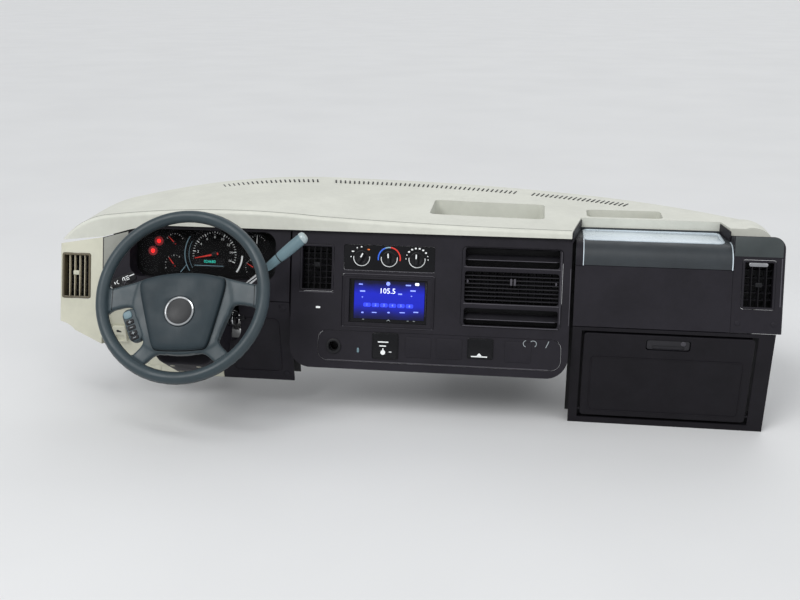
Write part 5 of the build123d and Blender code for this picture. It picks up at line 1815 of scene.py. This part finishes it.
@dataclass
class TopPad:
    """Trim of the top pad: a line of painted shade along the crease of its lip, grille at the
    windshield and tray mats.
    """

    near: float = -434
    arcs: tuple[tuple[Point, Point, Point], ...] = (
        ((-815, -21), (-762, 21), (-690, 41)),
        ((-690, 41), (-440, 59), (-200, 51)),
        ((-200, 51), (80, 40.5), (366, 36)),
    )
    trays: tuple[Box, ...] = (
        (172.5, -260, 265, 140),
        (488, -257, 172, 70),
    )
    grille_half: float = 520
    grille_radius: float = 1150
    grille_inset: float = 41
    slats: int = 88
    slope: float = 1.5
    rib_pitch: float = 7

    def build(self) -> None:
        """Build the painted crease shade, the grille and the mats."""
        self.build_seam()
        self.build_grille()
        self.build_mats()

    def upper_line(self, steps: int = 14) -> list[Point]:
        """Upper line of the pad as the driver sees it, arc after arc."""
        line = [point for ends in self.arcs for point in arc(*ends, steps)[:-1]]
        return [*line, self.arcs[-1][-1]]

    def build_seam(self) -> None:
        """Lay a grey line of painted shade along the crease of the pad's lip, where its top meets
        its front.
        """
        line = self.upper_line()
        upper = [(x, z + 0.9) for x, z in line]
        lower = [(x, z - 2.5) for x, z in reversed(line)]
        crease_shade = Bench.outline("pad_welt", upper + lower, 2.4)
        Bench.fit(crease_shade, Seat((0, self.near + 14, 0), 0), "pad", Finish.WELT)

    def build_grille(self) -> None:
        """Build the demister grille, a fan of slats along the windshield."""
        slat = Bench.plate("slat", (3.4, 30, 2), (0, self.grille_radius, 0), 1.2, 0.6)
        reach = math.degrees(math.asin(self.grille_half / self.grille_radius))
        angles = [reach * (2 * k / (self.slats - 1) - 1) for k in range(self.slats)]
        angles = [angle for angle in angles if abs(abs(angle) - 0.5 * reach) > 0.9]
        places = [spot(0, 0, self.rise(angle), angle) for angle in angles]
        Bench.settle(slat, Matrix.Translation((0, -self.grille_inset - 8, 0)))
        grille = Bench.copies(slat, places, "demister_slats")
        Bench.fit(grille, Seat((0, -self.grille_radius, 0)), "dark_trim", Finish.KNOB)

    def rise(self, angle: float) -> float:
        """Find the pad's upper side at the windshield, under a slat.

        Args:
            angle: Angle of the slat in degrees.

        Returns:
            Its height.
        """
        x = -self.grille_radius * math.sin(math.radians(angle))
        y = self.grille_radius * (math.cos(math.radians(angle)) - 1) - self.grille_inset
        line = self.upper_line()
        if x >= line[-1][0]:
            height = line[-1][1]
        else:
            k = next(k for k in range(len(line) - 1) if line[k + 1][0] >= x)
            (x0, z0), (x1, z1) = line[k], line[k + 1]
            height = z0 + (z1 - z0) * (x - x0) / (x1 - x0)
        return height + (y - self.near) * math.tan(math.radians(self.slope)) - 0.8

    def build_mats(self) -> None:
        """Lay a ribbed rubber mat in each tray."""
        parts = []
        for x, y, width, depth in self.trays:
            parts.append(Bench.plate("mat", (width - 8, depth - 8, 1.5), (x, y, 4), 11, 0.6))
            count = int((depth - 24) / self.rib_pitch)
            rib = Bench.plate("rib", (width - 30, 2.2, 1.2), (x, 0, 5.3), 1, 0.5)
            rows = [spot(0, y + self.rib_pitch * (k - (count - 1) / 2)) for k in range(count)]
            parts.append(Bench.copies(rib, rows, "ribs"))
        Bench.fit(Bench.join(parts, "tray_mats"), VEHICLE, "pad", Finish.MAT)


@dataclass
class PassengerSide:
    """Shelf with its cheeks and roll, right end trim, and the glove box with its latch."""

    door: Box = (585, -119, 366, 210)
    shelf: Point = (12, 23.2)
    mat: Box = (545, -353, 306, 98)
    left_end: tuple[Point, Point] = ((367, -434.4), (388.8, -302.4))
    right_end: tuple[Point, Point] = ((709.6, -377.6), (698.2, -302.4))
    roll: tuple[Point, Point, Point] = ((404, 12), (427, 0), (440.4, -35))

    def build(self) -> None:
        """Build the trim in front of the passenger."""
        self.build_shelf()
        self.build_cheeks()
        self.build_glove_box()
        self.build_door_guard()
        self.build_end_trim()

    def build_shelf(self) -> None:
        """Lay the shelf's smooth mat with its raised border, pale blue with a painted reflection of
        the sky.
        """
        x, y, width, depth = self.mat
        at = (x, y, self.shelf[0])
        mat = Bench.plate("mat", (width, depth, 1.2), at, 14, 0.6)
        border = Bench.ring("border", (width, depth, 2.4), 5, at, 14, 0.8)
        shelf = Bench.join([mat, border], "shelf_mat")
        Bench.fit(shelf, VEHICLE, "dark_trim", Finish.SHELF)

    def build_cheeks(self) -> None:
        """Face both slanted ends of the shelf, and edge the roll where it meets them, with pale
        lines of painted highlight beside the cheek.
        """
        low, height = self.shelf
        cheeks = []
        for (x0, y0), (x1, y1) in (self.left_end, self.right_end):
            points = [(x0, y0), (x0 + 1.8, y0), (x1 + 1.8, y1), (x1, y1)]
            cheeks.append(Bench.outline("cheek", points, height, low))
        Bench.fit(Bench.join(cheeks, "shelf_cheeks"), VEHICLE, "dark_trim", Finish.DARK)
        # The pale edge bands are painted highlight; the cheek band is the stack's dark side.
        for name, x, width, proud, finish in (
            ("roll_cheek", 391.5, 15, 1.6, Finish.DARK),
            ("roll_left_edge", 393.5, 1.8, 1.9, Finish.SHELF),
            ("roll_right_edge", 711, 2.2, 1.4, Finish.SHELF),
        ):
            upper = arc(*self.roll, 14, proud)
            lower = arc(*self.roll, 14, -2.5)
            points = [(384, low + proud), *upper, *reversed(lower), (384, low - 2.4)]
            band = Bench.outline(name, points, width)
            Bench.fit(band, Seat((x, 0, 0), 0, 0, -90), "dark_trim", finish)

    def build_glove_box(self) -> None:
        """Build the raised field of the door, its latch paddle, its lock and its bumpers; door and
        field are darkened with painted shade.
        """
        x, y, width, height = self.door
        size = (width - 34, height - 70, 1.8)
        # The door's field takes the darker copy of the dark plastic: painted shade.
        field = Bench.ring("door_field", size, 2.4, (x, y - 22, -0.5), 10, 0.8)
        Bench.fit(field, GLOVE, "dark_trim", Finish.KNEE)
        paddle = Bench.plate("latch_paddle", (94, 24, 8), (x, -37.2, -10), 6, 2)
        hollow = Bench.plate("hollow", (70, 9, 8), (x, -43, -5.5), 4)
        Bench.soften(Bench.cut(paddle, hollow), 0.8, 2, 60)
        Bench.fit(paddle, GLOVE, "dark_trim", Finish.VANE, ["glove_latch"])
        lock = [(5.5, -4), (5.5, -1.2), (4.8, -0.6), (3.6, -0.6), (3.4, -1.6), (0.5, -1.6)]
        keyhole = Bench.turned("door_lock", lock, 32, (x + 32, -32, 0))
        Bench.fit(keyhole, GLOVE, "dark_trim", Finish.TRIM)
        bumper = Bench.turned("bumper", [(5, -15.5), (5, -17), (4, -17.4)], 20)
        corners = [spot(x + dx, y + 96) for dx in (-176, 176)]
        bumpers = Bench.copies(bumper, corners, "door_bumpers")
        Bench.fit(bumpers, GLOVE, "dark_trim", Finish.RUBBER)

    def build_door_guard(self) -> None:
        """Close the gap under the door's foot with a folded guard behind the frame."""
        width = self.door[2] + 28
        guard = [
            Bench.plate("guard", (width, height, thick), (self.door[0] + 6, s, -28), 0, 0.4)
            for height, thick, s in ((2, 25, -240.5), (20, 2, -231.5))
        ]
        Bench.fit(Bench.join(guard, "door_guard"), KNEES, "dark_trim", Finish.DUCT)

    def build_end_trim(self) -> None:
        """Dress the right end housing: a pale shoulder of painted sheen, a lighter edge bead of
        painted highlight, a bright tab and screw covers.
        """
        # The pale shoulder is painted sheen on the housing's curved top.
        corner = arc((794, 36.6), (805, 34), (814, 26.3), 8)
        outline = [(814, -6), (713.2, -6), (713.2, 36.6), *corner]
        painted_sheen = Bench.soften(Bench.outline("end_shoulder", outline, 2, -0.4), 0.6, 2, 40)
        Bench.fit(painted_sheen, FASCIA, "dark_trim", Finish.SHOULDER)
        # Lighter bead down the housing's right edge: painted highlight.
        edge_highlight = Bench.plate("end_bead", (2.4, 104, 1.4), (812.6, -60, -0.4), 1, 0.5)
        Bench.fit(edge_highlight, FASCIA, "dark_trim", Finish.TRIM)
        tab = Bench.plate("right_vent_tab", (40, 9, 4), (764, -22.5, -3), 4, 1.4)
        Bench.fit(tab, FASCIA, "vent_dark", Finish.STEEL)
        cap = Bench.turned("cap", [(6, -0.4), (6, 0.8), (5, 1.4), (1, 1.6)], 24)
        caps = Bench.copies(cap, [spot(726, -150), spot(802, -150)], "end_caps")
        Bench.fit(caps, FASCIA, "dark_trim", Finish.DARK)


@dataclass
class Backside:
    """Fasteners, ribs and clamps that show from behind, from below and from the ends."""

    beam: Point = (-262, -215)
    plate_x: float = 790
    case: Box = (62, 338, -286, -18)

    def build(self) -> None:
        """Build the fasteners, the climate case's fittings, the clamps and the ribs."""
        self.build_bolts()
        self.build_case()
        self.build_clamps()
        self.build_carrier_ribs()

    def bolt(self, size: float) -> Thing:
        """Model a hexagon bolt head on its washer, facing out along z.

        Args:
            size: Radius that its head and washer go by.

        Returns:
            The piece.
        """
        washer = Bench.turned("washer", [(1.15 * size, 0), (1.15 * size, 1.6)], 24)
        head = [(0.62 * size, 1.4), (0.62 * size, 0.62 * size), (0.5 * size, 0.7 * size)]
        return Bench.join([washer, Bench.turned("head", head, 6)], "bolt")

    def build_bolts(self) -> None:
        """Bolt the end plates and the cowl bracket."""
        y, z = self.beam
        made = []
        for side in (-1, 1):
            seat = spot(side * self.plate_x, 0, 0, 90 * side, "Y")
            corners = [(y + dy, z + dz) for dy in (-32, 32) for dz in (-42, 42)]
            inner = [Matrix.Translation((0, *corner)) @ seat for corner in corners]
            made.append(Bench.copies(self.bolt(11), inner, "end_bolts"))
        cowl = [spot(x, -8, 0, 90, "X") for x in (-80, 80)]
        made.append(Bench.copies(self.bolt(12), cowl, "cowl_bolts"))
        Bench.fit(Bench.join(made, "frame_bolts"), VEHICLE, "bare_steel", Finish.ZINC)

    def build_case(self) -> None:
        """Build the ribs, blower cover, flange and clips of the climate case."""
        left, right, low, high = self.case
        x0, z0 = -(left + right) / 2, (low + high) / 2
        ribs = [
            Bench.plate("rib", (3, high - low - 60, 6), (-x, z0, -0.5), 0, 1)
            for x in (left + 34, left + 70, right - 70, right - 34)
        ]
        ribs += [
            Bench.plate("rib", (right - left - 50, 3, 5), (x0, z, -0.5), 0, 1)
            for z in (low + 34, high - 34)
        ]
        Bench.fit(Bench.join(ribs, "case_ribs"), BEHIND, "duct_black", Finish.DUCT)
        cover = [(62, -0.5), (62, 6), (58, 9), (44, 10), (44, 18)]
        cover += [(40, 21), (22, 22), (20, 18), (1, 18)]
        blower = Bench.turned("blower_cover", cover, 56, (x0, z0, 0))
        Bench.fit(blower, BEHIND, "duct_black", Finish.KNOB)
        slot = Bench.plate("slot", (3, 12, 1.2), (33, 0, 20.4), 1, 0.4)
        vents = Bench.copies(slot, [spot(0, 0, 0, 30 * k) for k in range(12)], "blower_slots")
        Bench.settle(vents, spot(x0, z0))
        Bench.fit(vents, BEHIND, "duct_black", Finish.RUBBER)
        places = [spot(*polar(52, 60 * k + 30, x0, z0), 8) for k in range(6)]
        screws = Bench.copies(self.bolt(6), places, "blower_screws")
        Bench.fit(screws, BEHIND, "bare_steel", Finish.ZINC)
        clip = Bench.plate("clip", (14, 22, 5), (0, 0, 0), 2, 1.2)
        places = [spot(-x, z, -1) for x in (left + 14, right - 14) for z in (low + 50, high - 50)]
        clips = Bench.copies(clip, places, "case_clips")
        Bench.fit(clips, BEHIND, "bare_steel", Finish.STEEL)

    def build_clamps(self) -> None:
        """Wrap joint bands round the main air ducts."""
        band = Bench.ring("band", (62, 54, 9), 2.4, (0, 0, -4.5), 3, 0.6)
        turn = Matrix.Rotation(math.radians(120), 4, Vector((1, 1, 1)))
        places = [Matrix.Translation((x, -177, -73)) @ turn for x in (-60, -180, 380)]
        bands = Bench.copies(band, places, "duct_bands")
        Bench.fit(bands, VEHICLE, "duct_black", Finish.RUBBER)

    def build_carrier_ribs(self) -> None:
        """Stiffen the back of the moulded carrier with upright ribs."""
        rib = Bench.plate("rib", (3, 180, 8), (0, -268, -54.5), 0, 0.8)
        places = [spot(x, 0) for x in (400, 450, 510, 570, 630, 690, 750)]
        ribs = Bench.copies(rib, places, "carrier_ribs")
        Bench.fit(ribs, replace(FASCIA, lean=-8), "duct_black", Finish.DUCT)


class Solids:
    """Finish of every solid, also of those that a modelled piece stands for."""

    finishes: dict[Finish, tuple[str, ...]] = {
        Finish.PAD: ("top_pad",),
        Finish.ROLL: ("passenger_shelf",),
        Finish.BEIGE: ("left_end_housing", "knee_bolster", "release_handle"),
        Finish.DARK: (
            "cluster_bezel", "stack_panel", "radio_frame", "accessory_strip", "right_end_housing",
            "passenger_panel", "column_panel", "column_shroud",
        ),
        # Glove box parts take the darker copy of the dark plastic: painted shade.
        Finish.KNEE: ("glove_frame", "glove_door"),
        Finish.DUCT: ("demister_duct", "glove_bin", "panel_carrier", "climate_case", "air_ducts"),
        Finish.DIAL: ("gauge_unit",),
        Finish.LENS: ("gauge_lens",),
        Finish.SCREEN: ("radio_screen",),
        Finish.GLOSS: ("climate_panel", "radio_unit"),
        Finish.KNOB: ("light_switches", "climate_knobs", "power_socket"),
        Finish.TAN: ("left_vent",),
        Finish.VENT: ("stack_vent", "right_vent", "stack_right_vents"),
        Finish.VANE: ("glove_latch",),
        Finish.RIM: ("wheel_frame",),
        Finish.HUB: ("hub_pad",),
        Finish.BADGE: ("badge_plate",),
        Finish.LEVER: ("turn_stalk", "shift_lever", "switch_pod"),
        Finish.CHROME: ("ignition_lock",),
        Finish.PAINT: ("cross_beam", "cowl_bracket", "column_tube"),
        Finish.ALUMINIUM: ("tilt_housing",),
        Finish.STEEL: ("upper_shaft", "lower_shaft"),
    }

    @classmethod
    def dress(cls) -> None:
        """Put each finish on its solid."""
        for finish, names in cls.finishes.items():
            for name in names:
                Workshop.dress(frame["nodes"][name], finish)


@dataclass
class Studio:
    """Pale floor, soft lamps and the camera at the photograph's viewing angle."""

    eye: Place = (0.290, -2.650, 0.574)
    target: Place = (-0.012, -0.45, -0.13)
    lens_angle: float = 42.5
    floor_size: float = 80.0
    floor_gap: float = 0.0004
    floor_shades: tuple[Colour, Colour] = ((0.73, 0.735, 0.74, 1), (0.76, 0.765, 0.77, 1))
    sky: Colour = (0.72, 0.73, 0.74, 1)
    daylight: Colour = (0.96, 0.98, 1.0, 1)
    daylight_strength: float = 0.52
    suns: tuple[tuple[str, Place, float, float], ...] = (
        ("key_sun", (-2.2, -3.4, 3.6), 24, 1.15),
        ("fill_sun", (3.0, -2.6, 1.8), 50, 0.5),
        ("rear_sun", (0.6, 3.0, 3.2), 40, 0.45),
    )
    panel_place: Place = (-0.4, -1.7, 2.0)
    panel_target: Place = (0, -0.4, 0)
    panel_size: Point = (2.4, 0.5)
    panel_power: float = 14

    def build(self) -> None:
        """Make the floor, the lamps, the world and the camera."""
        self.build_floor()
        self.build_world()
        for name, place, spread, power in self.suns:
            angle = math.radians(spread)
            self.add_lamp(name, "SUN", place, (0, 0, 0), energy=power, angle=angle)
        width, depth = self.panel_size
        panel = {"shape": "RECTANGLE", "size": width, "size_y": depth, "energy": self.panel_power}
        self.add_lamp("long_panel", "AREA", self.panel_place, self.panel_target, **panel)
        self.build_camera()

    def build_floor(self) -> None:
        """Lay the floor just under the dashboard."""
        Bench.start()
        low = CAD_BOUNDS[0][2] - self.floor_gap
        bpy.ops.mesh.primitive_plane_add(size=self.floor_size, location=(0, 0, low))
        floor = Bench.named("floor")
        bpy.ops.object.transform_apply()
        tree = ShaderTree("pale_floor")
        cloud = tree.noise(0.6, 3.0).between(0.3, 0.7)
        inputs = {
            "Base Color": tree.mix(cloud, *self.floor_shades),
            "Roughness": 0.75,
        }
        floor.data.materials.append(tree.close(inputs))

    def build_world(self) -> None:
        """Light the object softly all round, and show a pale background."""
        world = bpy.data.worlds.new("studio")
        world.use_nodes = True
        nodes = world.node_tree.nodes
        links = world.node_tree.links
        nodes.clear()
        path = nodes.new("ShaderNodeLightPath")
        seen = nodes.new("ShaderNodeBackground")
        seen.inputs["Color"].default_value = self.sky
        soft = nodes.new("ShaderNodeBackground")
        soft.inputs["Color"].default_value = self.daylight
        soft.inputs["Strength"].default_value = self.daylight_strength
        blend = nodes.new("ShaderNodeMixShader")
        output = nodes.new("ShaderNodeOutputWorld")
        links.new(path.outputs["Is Camera Ray"], blend.inputs["Fac"])
        links.new(soft.outputs[0], blend.inputs[1])
        links.new(seen.outputs[0], blend.inputs[2])
        links.new(blend.outputs[0], output.inputs["Surface"])
        bpy.context.scene.world = world

    def add_lamp(self, name: str, kind: str, place: Place, target: Place, **settings: Any) -> None:
        """Add a lamp that shines from one place towards another.

        Args:
            name: Its name.
            kind: "SUN" or "AREA".
            place: Where it stands.
            target: Where it points.
            settings: Its properties.
        """
        Bench.start()
        bpy.ops.object.light_add(type=kind, location=place)
        lamp = bpy.context.active_object
        lamp.name = name
        for key, value in settings.items():
            setattr(lamp.data, key, value)
        run = Vector(target) - Vector(place)
        lamp.rotation_euler = run.to_track_quat("-Z", "Y").to_euler()

    def build_camera(self) -> None:
        """Stand the camera where the photograph was taken, turned to the dashboard."""
        Bench.start()
        eye, target = Vector(self.eye), Vector(self.target)
        bpy.ops.object.camera_add(location=eye)
        camera = bpy.context.active_object
        camera.rotation_euler = (target - eye).to_track_quat("-Z", "Y").to_euler()
        camera.data.sensor_fit = "HORIZONTAL"
        camera.data.angle = math.radians(self.lens_angle)
        bpy.context.scene.camera = camera
        bpy.context.scene.view_settings.view_transform = "Standard"


def main() -> None:
    """Build every sub-assembly in order."""
    logging.basicConfig(level=logging.INFO, format="%(name)s: %(message)s")
    Solids.dress()
    tan = ("vent_tan", Finish.BROWN, Finish.TAN, Finish.BEIGE)
    dark = ("vent_dark", Finish.DARK, Finish.VENT, Finish.KNOB)
    vents = (
        AirVent("left_vent", -778, -104, 70, 106, 6, 4, *tan),
        AirVent("stack_vent", -203, -64, 78, 106, 6, 4, *dark),
        AirVent("right_vent", 766, -66, 70, 106, 5, 3, *dark),
    )
    assemblies = (
        SteeringWheel(), SteeringColumn(), GaugeCluster(), CentreStack(), *vents,
        DriverSide(), TopPad(), PassengerSide(), Backside(), Studio(),
    )
    for assembly in assemblies:
        log.info("building %s", type(assembly).__name__)
        assembly.build()


if __name__ == "__main__":
    main()
